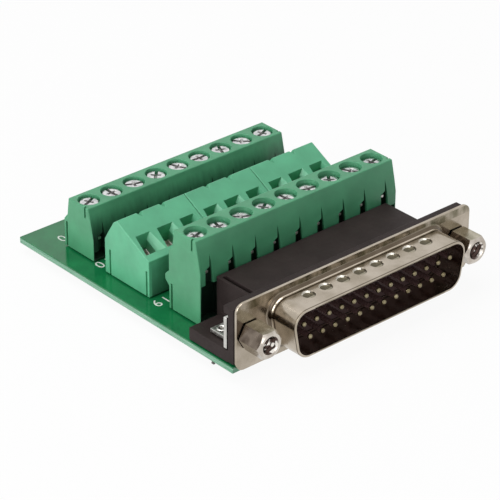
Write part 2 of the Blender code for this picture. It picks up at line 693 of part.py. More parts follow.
def cut_front_pockets(housing, places, row_y, height):
    """Low pocket of each pole in the front face, with a tapered slit and a window above it."""
    top, base = height - POCKET_DROP, SEAT_GAP + POCKET_FLOOR
    pockets = bmesh.new()
    outline = [(row_y - CUT_MARGIN, base), (row_y + POCKET_DEPTH, base)]
    outline += [(row_y + POCKET_DEPTH, top - POCKET_SLOPE), (row_y - CUT_MARGIN, top)]
    for x, _ in places:
        add_prism(pockets, outline, "X", x - POCKET_HALF_WIDTH, x + POCKET_HALF_WIDTH)
    combine(housing, "pockets", pockets, "DIFFERENCE")
    slits = bmesh.new()
    base, window_top = top - POCKET_SLOPE, height - WINDOW_DROP
    for x, _ in places:
        outline = [(x - WINDOW_WIDTH, base), (x + SLIT_WIDTH, base), (x, height - SLIT_DROP)]
        outline += [(x, window_top), (x - WINDOW_WIDTH, window_top)]
        add_prism(slits, outline, "Y", row_y - CUT_MARGIN, row_y + SLIT_DEPTH)
    combine(housing, "slits", slits, "DIFFERENCE")


def cut_end_slots(housing, row_y, height):
    """Notch open at the top and upright key groove in each end face of a straight row."""
    slots = bmesh.new()
    for side in (-1, 1):
        end = ROW_CENTRE_X + side * ROW_HALF_LENGTH
        near, far = sorted((end - side * END_SLOT_DEPTH, end + side * CUT_MARGIN))
        y, half = row_y + END_SLOT_Y, END_SLOT_WIDTH / 2
        add_block(slots, (near, y - half, height - END_SLOT_HEIGHT), (far, y + half, height + CUT_MARGIN))
        y, half = row_y + KEY_GROOVE_Y, KEY_GROOVE_WIDTH / 2
        add_block(slots, (near, y - half, 0), (far, y + half, KEY_GROOVE_HEIGHT))
    combine(housing, "end_slots", slots, "DIFFERENCE")


def make_straight_row(name, row_y, height, with_ledge, frame, material):
    """One-piece housing of a straight row; its clamps' solder pins are part of it."""
    places = row_screw_places(row_y)
    bm = bmesh.new()
    outline = [(row_y + y, z) for y, z in row_profile(height, with_ledge)]
    add_prism(bm, outline, "X", ROW_CENTRE_X - ROW_HALF_LENGTH, ROW_CENTRE_X + ROW_HALF_LENGTH)
    housing = add_object(name, bm, frame, material)
    pins = bmesh.new()
    for x, y in places:
        add_pin(pins, x, y, TERMINAL_PIN_WIDTH, SEAT_GAP + POCKET_FLOOR / 2)
    combine(housing, "pins", pins, "UNION")
    cut_screw_bores(housing, places, height)
    cut_wire_entries(housing, places, row_y, height)
    cut_front_pockets(housing, places, row_y, height)
    cut_end_slots(housing, row_y, height)


def module_profile():
    """Section of a slanted module, as (y, z), from the foot of its front face."""
    points = [(0, SEAT_GAP), (MIDDLE_DEPTH, SEAT_GAP), (MIDDLE_DEPTH, MIDDLE_REAR_KNEE_HEIGHT)]
    points += [(RIDGE_Y + RIDGE_CHAMFER_WIDTH, RIDGE_HEIGHT - RIDGE_CHAMFER_DROP)]
    points += [(RIDGE_Y, RIDGE_HEIGHT), (0, MIDDLE_KNEE_HEIGHT)]
    return [(MIDDLE_ROW_Y + y, z) for y, z in points]


def wire_path():
    """Start and direction of a module's wire entry, as (y, z), and the two distances that end it:
    along it to the screw's axis, and square to it from the rear slope."""
    slope, normal = rear_slope()
    inward = Vector((normal.y, -normal.x))
    middle_y = FUNNEL_LIP + FUNNEL_LENGTH / 2
    start = Vector((MIDDLE_ROW_Y + middle_y, front_slope_height(middle_y)))
    to_slope = slope - start
    return start, inward, to_slope.dot(inward), to_slope.dot(normal)


def funnel_sides(start, index, x):
    """(bottom, top) places of a funnel's left and right walls where they meet the front slope."""
    last = POLES_IN_MODULE - 1
    if index == 0:
        left = (start + END_WALL_BOTTOM, start + END_WALL_TOP)
    else:
        boundary = x - PITCH / 2
        left = (boundary + RIB_CREST_WIDTH / 2, boundary + RIB_TOP_WIDTH / 2)
    if index == last:
        end = start + MODULE_LENGTH
        right = (end - END_WALL_BOTTOM, end - END_WALL_TOP)
    else:
        boundary = x + PITCH / 2
        right = (boundary - RIB_CREST_WIDTH / 2, boundary - RIB_TOP_WIDTH / 2)
    return left, right


def cut_funnels(module, start):
    """Wire funnels in the front slope, parted by roof-shaped ribs; each throat runs to its screw."""
    centre, inward, to_screw_axis, _ = wire_path()
    upward = Vector((-inward.y, inward.x))
    low_y, high_y = FUNNEL_LIP, FUNNEL_LIP + FUNNEL_LENGTH
    half = THROAT_WIDTH / 2
    funnels = bmesh.new()
    for i, x in enumerate(module_pole_places(start)):
        left, right = funnel_sides(start, i, x)
        rings = []
        for lift in (CUT_MARGIN, 0):
            low = (MIDDLE_ROW_Y + low_y, front_slope_height(low_y) + lift)
            high = (MIDDLE_ROW_Y + high_y, front_slope_height(high_y) + lift)
            rings.append([(left[0], *low), (right[0], *low), (right[1], *high), (left[1], *high)])
        for depth in (FUNNEL_DEPTH, to_screw_axis + THROAT_PAST_SCREW_AXIS):
            low = centre + inward * depth - upward * THROAT_LENGTH / 2
            high = centre + inward * depth + upward * THROAT_LENGTH / 2
            rings.append([(x - half, *low), (x + half, *low), (x + half, *high), (x - half, *high)])
        add_loft(funnels, rings)
    combine(module, "funnels", funnels, "DIFFERENCE")


def cut_module_bores(module, poles):
    centre, normal = rear_slope()
    _, _, _, wire_depth = wire_path()
    bore_depth = wire_depth - THROAT_LENGTH / 2 + MIDDLE_BORE_INTO_THROAT
    profile = [(SHANK_HOLE_RADIUS, -bore_depth), (SHANK_HOLE_RADIUS, -MIDDLE_RECESS_DEPTH)]
    profile += [(RECESS_RADIUS, -MIDDLE_RECESS_DEPTH), (RECESS_RADIUS, CUT_MARGIN)]
    bores = bmesh.new()
    for x in poles:
        add_turned(bores, profile, ROUND_SIDES, (x, centre.x, centre.y), (0, normal.x, normal.y))
    combine(module, "screw_bores", bores, "DIFFERENCE")


def cut_ridge_notches(module, poles):
    """V grooves that part the poles on the ridge and down the rear slope."""
    _, normal = rear_slope()
    ridge = Vector((MIDDLE_ROW_Y + RIDGE_Y, RIDGE_HEIGHT))
    start_y = RIDGE_Y - RIDGE_NOTCH_LENGTH
    start = Vector((MIDDLE_ROW_Y + start_y, front_slope_height(start_y)))
    knee = Vector((MIDDLE_ROW_Y + MIDDLE_DEPTH, MIDDLE_REAR_KNEE_HEIGHT))
    upward = Vector((0, 1))
    bends = [(start, upward, 0), (ridge, upward, RIDGE_NOTCH_DEPTH), (knee, normal, RIDGE_NOTCH_DEPTH)]
    reach = RIDGE_NOTCH_DEPTH + CUT_MARGIN
    half = RIDGE_NOTCH_WIDTH / 2 * reach / RIDGE_NOTCH_DEPTH
    notches = bmesh.new()
    for x in [(a + b) / 2 for a, b in zip(poles, poles[1:])]:
        rings = []
        for point, outward, depth in bends:
            tip = point - outward * depth
            brim = tip + outward * reach
            rings.append([(x, *tip), (x + half, *brim), (x - half, *brim)])
        add_loft(notches, rings)
    combine(module, "ridge_notches", notches, "DIFFERENCE")


def cut_module_grooves(module, start):
    grooves = bmesh.new()
    half = KEY_GROOVE_WIDTH / 2
    for end, side in ((start, -1), (start + MODULE_LENGTH, 1)):
        near, far = sorted((end - side * END_SLOT_DEPTH, end + side * CUT_MARGIN))
        for groove_y in (MIDDLE_GROOVE_FROM_FACE, MIDDLE_DEPTH - MIDDLE_GROOVE_FROM_REAR):
            y = MIDDLE_ROW_Y + groove_y
            add_block(grooves, (near, y - half, 0), (far, y + half, KEY_GROOVE_HEIGHT))
    combine(module, "end_grooves", grooves, "DIFFERENCE")


def make_module(name, start, frame, material):
    """Slanted terminal module: wire funnels on its front slope and screws on its rear slope."""
    poles = module_pole_places(start)
    bm = bmesh.new()
    add_prism(bm, module_profile(), "X", start, start + MODULE_LENGTH)
    module = add_object(name, bm, frame, material)
    pins = bmesh.new()
    for x in poles:
        y = MIDDLE_ROW_Y + MIDDLE_PIN_FROM_FRONT
        add_pin(pins, x, y, TERMINAL_PIN_WIDTH, SEAT_GAP + POCKET_FLOOR / 2)
    combine(module, "pins", pins, "UNION")
    cut_funnels(module, start)
    cut_module_bores(module, poles)
    cut_ridge_notches(module, poles)
    cut_module_grooves(module, start)


def make_screw(name, head_centre, direction, shank_length, turn, frame, material):
    """One slotted screw: its origin is the top of its head, on its own axis."""
    shank_end = -SCREW_HEAD_HEIGHT - shank_length
    profile = [(SCREW_SHANK_RADIUS, shank_end), (SCREW_SHANK_RADIUS, -SCREW_HEAD_HEIGHT)]
    profile += [(SCREW_HEAD_RADIUS, -SCREW_HEAD_HEIGHT), (SCREW_HEAD_RADIUS, 0)]
    bm = bmesh.new()
    add_turned(bm, profile, ROUND_SIDES)
    screw = add_object(name, bm, frame, material, smooth=True)
    slot = bmesh.new()
    reach = SCREW_HEAD_RADIUS + CUT_MARGIN
    half = SCREW_SLOT_WIDTH / 2
    add_block(slot, (-reach, -half, -SCREW_SLOT_DEPTH), (reach, half, CUT_MARGIN))
    cutter = combine(screw, "slot", slot, "DIFFERENCE")
    tilt = Vector((0, 0, 1)).rotation_difference(Vector(direction))
    spin = Matrix.Rotation(math.radians(turn), 3, "Z").to_quaternion()
    for piece in (screw, cutter):
        piece.location = head_centre
        piece.rotation_mode = "QUATERNION"
        piece.rotation_quaternion = tilt @ spin


def make_screws(frame):
    """A screw in every bore; no two neighbours were left at the same turn."""
    zinc = screw_zinc()
    for i, (x, y) in enumerate(row_screw_places(FRONT_ROW_Y)):
        head = (x, y, FRONT_ROW_HEIGHT - FRONT_SCREW_SINK)
        turn = FRONT_FIRST_TURN + i * TURN_STEP
        make_screw(f"front_screw_{i + 1}", head, (0, 0, 1), SCREW_SHANK_LENGTH, turn, frame, zinc)
    for i, (x, y) in enumerate(row_screw_places(REAR_ROW_Y)):
        head = (x, y, REAR_ROW_HEIGHT - REAR_SCREW_SINK)
        turn = REAR_FIRST_TURN + i * TURN_STEP
        make_screw(f"rear_screw_{i + 1}", head, (0, 0, 1), SCREW_SHANK_LENGTH, turn, frame, zinc)
    centre, normal = rear_slope()
    place = centre - normal * MIDDLE_SCREW_SINK
    poles = [x for start in module_starts() for x in module_pole_places(start)]
    for i, x in enumerate(poles):
        turn = MIDDLE_FIRST_TURN + i * TURN_STEP
        make_screw(f"middle_screw_{i + 1}", (x, *place), (0, *normal), MIDDLE_SHANK_LENGTH, turn, frame, zinc)


def build():
    clear_scene()
    frame = bpy.data.objects.new("adapter_frame", None)
    bpy.context.collection.objects.link(frame)
    frame.location = (0, (SHELL_LENGTH - BOARD_BACK) / 2, PIN_STICK_OUT + BOARD_THICKNESS)
    make_board(frame)
    make_shell(frame)
    make_insulator(frame)
    make_body(frame)
    tin, nickel = strap_tin(), standoff_nickel()
    for hand, side in (("left", -1), ("right", 1)):
        make_strap(f"ground_strap_{hand}", side, frame, tin)
        make_eyelet(f"strap_eyelet_{hand}", side, frame, tin)
        make_standoff(f"hex_standoff_{hand}", side, frame, nickel)
    green, mint = straight_row_plastic(), module_plastic()
    make_straight_row("front_row_housing", FRONT_ROW_Y, FRONT_ROW_HEIGHT, True, frame, green)
    make_straight_row("rear_row_housing", REAR_ROW_Y, REAR_ROW_HEIGHT, False, frame, green)
    for i, start in enumerate(module_starts()):
        make_module(f"middle_module_{i + 1}", start, frame, mint)
    make_screws(frame)


build()
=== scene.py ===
"""Breakout board: a right-angle 25-way D-sub plug in front of three stepped rows of screw terminals."""

import math

import bmesh
import bpy
from mathutils import Matrix, Vector


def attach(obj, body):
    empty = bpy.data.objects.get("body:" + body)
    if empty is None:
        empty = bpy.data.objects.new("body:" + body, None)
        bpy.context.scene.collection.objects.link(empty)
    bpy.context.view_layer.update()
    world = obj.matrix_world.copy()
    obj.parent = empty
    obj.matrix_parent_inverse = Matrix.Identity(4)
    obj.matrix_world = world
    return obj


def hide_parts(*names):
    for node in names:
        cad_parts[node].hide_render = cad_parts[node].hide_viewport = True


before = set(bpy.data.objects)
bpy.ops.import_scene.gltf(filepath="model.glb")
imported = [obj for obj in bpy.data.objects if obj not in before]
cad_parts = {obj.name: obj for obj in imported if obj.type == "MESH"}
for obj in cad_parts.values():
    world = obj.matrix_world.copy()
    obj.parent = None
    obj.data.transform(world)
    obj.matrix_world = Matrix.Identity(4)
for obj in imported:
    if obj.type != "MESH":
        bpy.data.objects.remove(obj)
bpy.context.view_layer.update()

# Camera
# It looks from the connector's left, above the board, far enough back that the board's parallel edges
# stay nearly parallel. Its turn is fixed by the connector's flange, its standoffs and its contacts.
azimuth, elevation, roll = math.radians(-41.312), math.radians(29.556), math.radians(0.181)
flange_middle = Vector((0, -0.02605, 0.00863))
distance, leftward, lifted = 0.423191, 0.017780, 0.005899
away = Vector((math.sin(azimuth) * math.cos(elevation), -math.cos(azimuth) * math.cos(elevation),
               math.sin(elevation)))
level = Vector((math.cos(azimuth), math.sin(azimuth), 0))
upright = away.cross(level)
across = level * math.cos(roll) + upright * math.sin(roll)
upward = upright * math.cos(roll) - level * math.sin(roll)
stand = flange_middle + away * distance - across * leftward + upward * lifted
bpy.ops.object.select_all(action="DESELECT")
bpy.ops.object.camera_add()
camera = bpy.context.object
camera.matrix_world = Matrix.Translation(stand) @ Matrix((across, upward, away)).transposed().to_4x4()
camera.data.lens = 182.76
camera.data.clip_start, camera.data.clip_end = 0.02, 20
bpy.context.scene.camera = camera

# Floor, backdrop and lamps
# A white sweep under a broad soft box, with a box at the left and a weak one at the front. The sweep stays
# white to the camera and in the metal, and still takes the object's shadow.


def math_step(tree, operation, first, second=0.0, third=0.0):
    """One step of arithmetic on a socket, with plain numbers or another socket."""
    made = tree.nodes.new("ShaderNodeMath")
    made.operation = operation
    for socket, value in zip(made.inputs, (first, second, third)):
        if isinstance(value, float):
            socket.default_value = value
        else:
            tree.links.new(value, socket)
    return made.outputs[0]


def showing_rays(tree):
    """1 for the rays that show the backdrop: from the camera, in a reflection or through glass."""
    rays = tree.nodes.new("ShaderNodeLightPath").outputs
    mirrored = math_step(tree, "MAXIMUM", rays["Is Camera Ray"], rays["Is Glossy Ray"])
    return math_step(tree, "MAXIMUM", mirrored, rays["Is Transmission Ray"])


def blended(tree, share, first, second):
    """Goes from one shader to the other by a share."""
    blend = tree.nodes.new("ShaderNodeMixShader")
    for socket, source in zip(blend.inputs, (share, first.outputs[0], second.outputs[0])):
        tree.links.new(source, socket)
    return blend.outputs[0]


WHITE = (1, 1, 1, 1)
bpy.ops.mesh.primitive_plane_add(size=6, location=(0, 0, 0))
floor = bpy.context.object
floor.name = "studio_floor"
sweep = bpy.data.materials.new("white_sweep")
sweep.use_nodes = True
tree = sweep.node_tree
paper = tree.nodes["Principled BSDF"]
paper.inputs["Base Color"].default_value = (0.86, 0.86, 0.86, 1)
paper.inputs["Roughness"].default_value = 0.9
glow = tree.nodes.new("ShaderNodeEmission")
glow.inputs["Color"].default_value = WHITE
glow_share = math_step(tree, "MULTIPLY", showing_rays(tree), 0.93)
tree.links.new(blended(tree, glow_share, paper, glow), tree.nodes["Material Output"].inputs[0])
floor.data.materials.append(sweep)

world = bpy.data.worlds.new("studio")
bpy.context.scene.world = world
world.use_nodes = True
tree = world.node_tree
dim = tree.nodes["Background"]
dim.inputs["Color"].default_value = WHITE
dim.inputs["Strength"].default_value = 0.27
bright = tree.nodes.new("ShaderNodeBackground")
bright.inputs["Color"].default_value = WHITE
tree.links.new(blended(tree, showing_rays(tree), dim, bright), tree.nodes["World Output"].inputs[0])
for label, place, width, power in (
        ("top_box", (-0.10, 0.05, 0.60), 0.45, 1.95),
        ("left_box", (-0.62, 0.05, 0.28), 0.40, 2.45),
        ("front_box", (-0.25, -0.65, 0.22), 0.35, 0.6)):
    bpy.ops.object.light_add(type="AREA", location=place)
    lamp = bpy.context.object
    lamp.name = label
    lamp.data.size = width
    lamp.data.energy = power
    lamp.rotation_euler = (-Vector(place)).to_track_quat("-Z", "Y").to_euler()
bpy.context.scene.view_settings.view_transform = "Standard"

# Printed board
# Glass laminate, 1.2 mm, sheared to size and covered with green solder mask on both faces; the cut edges
# stay bare and pale. Everything else is soldered or riveted to it.
MM = 0.001
BOARD_HALF_WIDTH, BOARD_FRONT, BOARD_BACK = 26.7, -25.3, 32.15
BOARD_UNDER, BOARD_TOP = 1.9, 3.1


def block(name, low, high):
    """Solid between two corners, in millimetres."""
    bpy.ops.object.select_all(action="DESELECT")
    low, high = Vector(low) * MM, Vector(high) * MM
    bpy.ops.mesh.primitive_cube_add(size=1, location=(low + high) / 2)
    made = bpy.context.object
    made.name = name
    made.scale = high - low
    bpy.ops.object.transform_apply(location=True, rotation=True, scale=True)
    return made


def pick(kind, wanted):
    """Selects the points, edges or faces of the piece being edited whose middle, in mm, passes the test."""
    bpy.ops.mesh.select_mode(type=kind)
    mesh = bmesh.from_edit_mesh(bpy.context.object.data)
    bpy.ops.mesh.select_all(action="DESELECT")
    if kind == "VERT":
        found = [v for v in mesh.verts if wanted(v.co / MM, v)]
    elif kind == "EDGE":
        found = [e for e in mesh.edges if wanted((e.verts[0].co + e.verts[1].co) / 2 / MM, e)]
    else:
        found = [f for f in mesh.faces if wanted(f.calc_center_median() / MM, f)]
    for element in found:
        element.select_set(True)
    mesh.select_flush_mode()
    bmesh.update_edit_mesh(bpy.context.object.data)


def take_up(piece):
    """Makes one piece the selected and active one."""
    bpy.ops.object.select_all(action="DESELECT")
    piece.select_set(True)
    bpy.context.view_layer.objects.active = piece


def edit(piece):
    take_up(piece)
    bpy.ops.object.mode_set(mode="EDIT")


def finish_edit():
    bpy.ops.object.mode_set(mode="OBJECT")


def is_sharp(edge):
    """Two faces meet there at more than half a radian."""
    return len(edge.link_faces) == 2 and edge.calc_face_angle(0) > 0.5


def rounded(piece, width, wanted=None, segments=2):
    """Rounds the sharp edges that pass the test, or all of them."""
    edit(piece)
    pick("EDGE", lambda middle, edge: is_sharp(edge) and (wanted is None or wanted(middle, edge)))
    bpy.ops.mesh.bevel(offset=width * MM, segments=segments, affect="EDGES", clamp_overlap=False)
    finish_edit()


def smoothed(piece, degrees=35):
    """Smooth across the soft edges only, with the flat faces kept flat."""
    take_up(piece)
    bpy.ops.object.shade_smooth_by_angle(angle=math.radians(degrees))
    bpy.ops.object.modifier_add(type="WEIGHTED_NORMAL")
    piece.modifiers[-1].keep_sharp = True
    bpy.ops.object.modifier_apply(modifier=piece.modifiers[-1].name)


def new_finish(name, colour, metallic=0.0):
    """Material whose shader has its constants set, and the place coordinates of the piece."""
    finish = bpy.data.materials.new(name)
    finish.use_nodes = True
    shader = finish.node_tree.nodes["Principled BSDF"]
    shader.inputs["Base Color"].default_value = (*colour, 1)
    shader.inputs["Metallic"].default_value = metallic
    place = finish.node_tree.nodes.new("ShaderNodeTexCoord")
    return finish, finish.node_tree, shader, place.outputs["Object"]


def noise(tree, place, scale, detail=2, stretch=None):
    """Noise on the piece's own coordinates: scale is in features a metre."""
    if stretch is not None:
        lay = tree.nodes.new("ShaderNodeMapping")
        lay.inputs["Scale"].default_value = stretch
        tree.links.new(place, lay.inputs["Vector"])
        place = lay.outputs[0]
    made = tree.nodes.new("ShaderNodeTexNoise")
    made.inputs["Scale"].default_value = scale
    made.inputs["Detail"].default_value = detail
    tree.links.new(place, made.inputs["Vector"])
    return made.outputs["Fac"]


def ramped(tree, value, stops):
    """Colour ramp with (position, colour) stops."""
    ramp = tree.nodes.new("ShaderNodeValToRGB")
    while len(ramp.color_ramp.elements) < len(stops):
        ramp.color_ramp.elements.new(0.5)
    for element, (position, colour) in zip(ramp.color_ramp.elements, stops):
        element.position = position
        element.color = (*colour, 1)
    tree.links.new(value, ramp.inputs[0])
    return ramp.outputs[0]


def ranged(tree, value, low, high):
    """Brings a noise's middle range onto low to high."""
    made = tree.nodes.new("ShaderNodeMapRange")
    for socket, bound in (("From Min", 0.3), ("From Max", 0.7), ("To Min", low), ("To Max", high)):
        made.inputs[socket].default_value = bound
    tree.links.new(value, made.inputs["Value"])
    return made.outputs[0]


def mixed(tree, share, first, second, mode="MIX"):
    """Mixes two colours, each a socket or a plain colour, by a share."""
    made = tree.nodes.new("ShaderNodeMix")
    made.data_type = "RGBA"
    made.blend_type = mode
    if isinstance(share, float):
        made.inputs["Factor"].default_value = share
    else:
        tree.links.new(share, made.inputs["Factor"])
    for socket, colour in ((made.inputs[6], first), (made.inputs[7], second)):
        if isinstance(colour, tuple):
            socket.default_value = (*colour, 1)
        else:
            tree.links.new(colour, socket)
    return made.outputs[2]


def by_axis(tree, vector):
    """The X, Y and Z of a place or of a direction."""
    split = tree.nodes.new("ShaderNodeSeparateXYZ")
    tree.links.new(vector, split.inputs[0])
    return split.outputs


def facing(tree):
    """Which way the surface faces, along X, Y and Z."""
    return by_axis(tree, tree.nodes.new("ShaderNodeNewGeometry").outputs["True Normal"])


def within(tree, value, low, high):
    """1 where a length on the piece, given in mm, lies between two bounds."""
    return math_step(tree, "COMPARE", value, (low + high) / 2 * MM, (high - low) / 2 * MM)


def all_of(tree, *shares):
    """Product of shares: 1 only where each of them is 1."""
    product = shares[0]
    for share in shares[1:]:
        product = math_step(tree, "MULTIPLY", product, share)
    return product


def bumped(tree, shader, height, strength, distance):
    made = tree.nodes.new("ShaderNodeBump")
    made.inputs["Strength"].default_value = strength
    made.inputs["Distance"].default_value = distance * MM
    tree.links.new(height, made.inputs["Height"])
    tree.links.new(made.outputs[0], shader.inputs["Normal"])


board_mask, tree, shader, place = new_finish("board_mask_and_laminate", (0.02, 0.26, 0.09))
mask_green = ramped(tree, noise(tree, place, 260, 3),
                    [(0.3, (0.006, 0.135, 0.045)), (0.7, (0.011, 0.185, 0.062))])
sheared = math_step(tree, "COMPARE", facing(tree)["Z"], 0.0, 0.4)
bare = all_of(tree, sheared, within(tree, by_axis(tree, place)["Z"], 1.96, 2.87))
plies = ramped(tree, noise(tree, place, 900, 2, (0.2, 0.2, 6)),
               [(0.35, (0.125, 0.31, 0.20)), (0.65, (0.24, 0.43, 0.31))])
tree.links.new(mixed(tree, bare, mask_green, plies), shader.inputs["Base Color"])
gloss = ranged(tree, noise(tree, place, 300), 0.10, 0.17)
gloss = math_step(tree, "MAXIMUM", gloss, math_step(tree, "MULTIPLY", bare, 0.6))
tree.links.new(gloss, shader.inputs["Roughness"])
bumped(tree, shader, noise(tree, place, 500, 2), 0.12, 0.02)

board = block("board_laminate", (-BOARD_HALF_WIDTH, BOARD_FRONT, BOARD_UNDER),
              (BOARD_HALF_WIDTH, BOARD_BACK, BOARD_TOP))
rounded(board, 0.05, segments=2)
smoothed(board)
board.data.materials.append(board_mask)
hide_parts("printed_board")
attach(board, "board_assembly")

# Printed numbers
# White ink screened on the board's left end: the number of the first terminal in each row, to be read from
# the rear.


def drifting(name, colour, metallic, clouds, stops, grain, gloss, relief=None):
    """Finish whose colour and gloss drift over the piece. Clouds and grain are a noise's scale and detail;
    relief is a noise, its strength and its height in mm."""
    made, tree, shader, place = new_finish(name, colour, metallic)
    tree.links.new(ramped(tree, noise(tree, place, *clouds), stops), shader.inputs["Base Color"])
    tree.links.new(ranged(tree, noise(tree, place, *grain), *gloss), shader.inputs["Roughness"])
    if relief is not None:
        waves, strength, height = relief
        bumped(tree, shader, noise(tree, place, *waves), strength, height)
    return made


def face_outwards():
    bpy.ops.mesh.select_all(action="SELECT")
    bpy.ops.mesh.normals_make_consistent(inside=False)


ink_white = drifting("screened_ink", (0.7, 0.74, 0.7), 0.0,
                     (1500, 3), [(0.3, (0.45, 0.55, 0.47)), (0.6, (0.78, 0.82, 0.78))], (900, 2), (0.4, 0.6))
for label, x, y in (("19", -22.0, -1.4), ("10", -21.2, 15.2), ("0", -21.4, 26.9)):
    bpy.ops.object.select_all(action="DESELECT")
    bpy.ops.object.text_add(location=(0, 0, 0))
    number = bpy.context.object
    number.name = "number_" + label
    number.data.body = label
    number.data.size = 3 * MM
    number.data.space_character = 1.3
    number.data.extrude = 0.01 * MM
    number.data.align_x, number.data.align_y = "CENTER", "CENTER"
    bpy.ops.object.convert(target="MESH")
    number.data.transform(Matrix.Translation(Vector((x, y, BOARD_TOP)) * MM) @ Matrix.Rotation(math.pi, 4, "Z"))
    edit(number)
    bpy.ops.mesh.select_all(action="SELECT")
    bpy.ops.mesh.remove_doubles(threshold=0.001 * MM)
    face_outwards()
    finish_edit()
    number.data.materials.append(ink_white)
    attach(number, "board_assembly")

# Connector shell and flange
# One piece of sheet steel, drawn to a flange and a D-shaped collar, dimpled to grip the mating shell and
# plated with bright nickel. The hex standoffs clamp it to the moulding behind it.
AXIS_HEIGHT = 8.63
STANDOFF_X = 23.52
FLANGE_FRONT, FLANGE_MIDDLE, FLANGE_BACK = -26.05, -25.8, -25.55
FLANGE_HALF_WIDTH, FLANGE_LOW, FLANGE_HIGH = 26.52, 2.355, 14.905
COLLAR_RIM, COLLAR_WALL = -32.15, 0.42
CAVITY_HALF_TOP, CAVITY_HEIGHT, CAVITY_CORNER, CAVITY_LEAN = 19.48, 8.36, 2.4, 10
DIMPLE_COUNT, DIMPLE_PITCH, DIMPLE_Y, DIMPLES_END = 8, 3.8, -28.65, 15
DIMPLE = [(0.5, -0.39), (0.9, -0.37), (1.08, -0.29), (1.21, 0.02), (1.32, 0.3)]
OUTER_WALL = 4.6


def patchy_tone(tree, place, colour, dark, scale):
    """Plating tone that drifts between two colours in soft patches."""
    return ramped(tree, noise(tree, place, scale, 4), [(0.32, dark), (0.62, colour)])


shell_plate, tree, shader, place = new_finish("shell_nickel_plate", (0.52, 0.45, 0.36), 1.0)
patches = patchy_tone(tree, place, (0.50, 0.44, 0.365), (0.36, 0.31, 0.24), 260)
spot = by_axis(tree, place)
lift = math_step(tree, "ABSOLUTE", math_step(tree, "SUBTRACT", spot["Z"], AXIS_HEIGHT * MM))
dimpled = within(tree, spot["X"], -DIMPLES_END, DIMPLES_END)

# Painted reflection across the collar, from its rim to 6.6 mm behind it: streaks of painted shade
# and a painted highlight.
streak_run = 6.6
along = math_step(tree, "MULTIPLY_ADD", spot["Y"], 1000 / streak_run, -COLLAR_RIM / streak_run)
plain, rim_shade, shade, gleam = (1, 1, 1), (0.3, 0.28, 0.25), (0.28, 0.25, 0.22), (1.3, 1.3, 1.3)
streaks = [(0, plain), (0.009, plain), (0.014, rim_shade), (0.032, rim_shade), (0.042, plain), (0.735, plain),
           (0.75, shade), (0.79, shade), (0.805, gleam), (0.84, gleam), (0.855, shade), (0.912, shade),
           (0.925, plain)]
plated = mixed(tree, 1.0, patches, ramped(tree, along, streaks), "MULTIPLY")

# The dimples' floors are painted dark as shade, paler in the half towards the rim, and their walls take
# painted shade with a painted highlight along the back wall's upper edge; the flange's upper edge is blotted.
floors = all_of(tree, within(tree, lift, 4.2, 4.3), dimpled)
floor_painted_shade = mixed(tree, within(tree, spot["Y"], -30, -28.95), (0.12, 0.105, 0.07), (0.40, 0.37, 0.29))
plated = mixed(tree, floors, plated, floor_painted_shade)
strip = all_of(tree, within(tree, spot["Z"], 13.3, 14.75), within(tree, spot["Y"], -26.1, -25.9))
blots = all_of(tree, strip, ranged(tree, noise(tree, place, 900, 3, (1, 1, 0.4)), 0.0, 0.85))
plated = mixed(tree, blots, plated, (0.10, 0.095, 0.05))
walls = all_of(tree, within(tree, lift, 4.29, 4.575), dimpled, within(tree, spot["Y"], -30.2, -27.2))
wall_painted_shade_and_highlight = mixed(tree, within(tree, spot["Y"], -28.0, -27.3), (0.07, 0.06, 0.045), (0.80, 0.77, 0.70))
tree.links.new(mixed(tree, walls, plated, wall_painted_shade_and_highlight), shader.inputs["Base Color"])
dull = math_step(tree, "MULTIPLY", math_step(tree, "MAXIMUM", walls, floors), 0.38)
gloss = ranged(tree, noise(tree, place, 700, 4), 0.15, 0.28)
tree.links.new(math_step(tree, "MAXIMUM", gloss, dull), shader.inputs["Roughness"])
bumped(tree, shader, noise(tree, place, 420, 4), 0.22, 0.04)


def d_block(name, grow, front, back):
    """Solid with the collar's D outline, wide side up, grown by a wall; its edges run along Y."""
    bpy.ops.object.select_all(action="DESELECT")
    middle_of_face = (0, front * MM, AXIS_HEIGHT * MM)
    bpy.ops.mesh.primitive_plane_add(size=1, location=middle_of_face, rotation=(math.pi / 2, 0, 0))
    made = bpy.context.object
    made.name = name
    lean = math.radians(CAVITY_LEAN)
    top = CAVITY_HALF_TOP + grow / math.cos(lean) + grow * math.tan(lean)
    bottom = CAVITY_HALF_TOP - CAVITY_HEIGHT * math.tan(lean) + grow / math.cos(lean) - grow * math.tan(lean)
    made.scale = (2 * top * MM, (CAVITY_HEIGHT + 2 * grow) * MM, 1)
    bpy.ops.object.transform_apply(location=True, rotation=True, scale=True)
    edit(made)
    pick("VERT", lambda middle, point: middle.z < AXIS_HEIGHT)
    bpy.ops.transform.resize(value=(bottom / top, 1, 1), center_override=(0, 0, AXIS_HEIGHT * MM))
    radius = CAVITY_CORNER + grow
    for side in (1, -1):
        half_angle = math.radians((90 - CAVITY_LEAN * side) / 2)
        pick("VERT", lambda middle, point: (middle.z - AXIS_HEIGHT) * side > 4.1 and abs(middle.x) > 15)
        bpy.ops.mesh.bevel(offset=radius / math.tan(half_angle) * MM, segments=12, affect="VERTICES")
    bpy.ops.mesh.select_all(action="SELECT")
    bpy.ops.mesh.extrude_region_move(TRANSFORM_OT_translate={"value": (0, (back - front) * MM, 0)})
    face_outwards()
    finish_edit()
    return made


def cut_or_join(piece, tool, operation):
    """Boolean with a tool solid, which is then cleared away."""
    modifier = piece.modifiers.new("shape", "BOOLEAN")
    modifier.operation = operation
    modifier.object = tool
    modifier.solver = "EXACT"
    take_up(piece)
    bpy.ops.object.modifier_apply(modifier=modifier.name)
    bpy.data.objects.remove(tool)


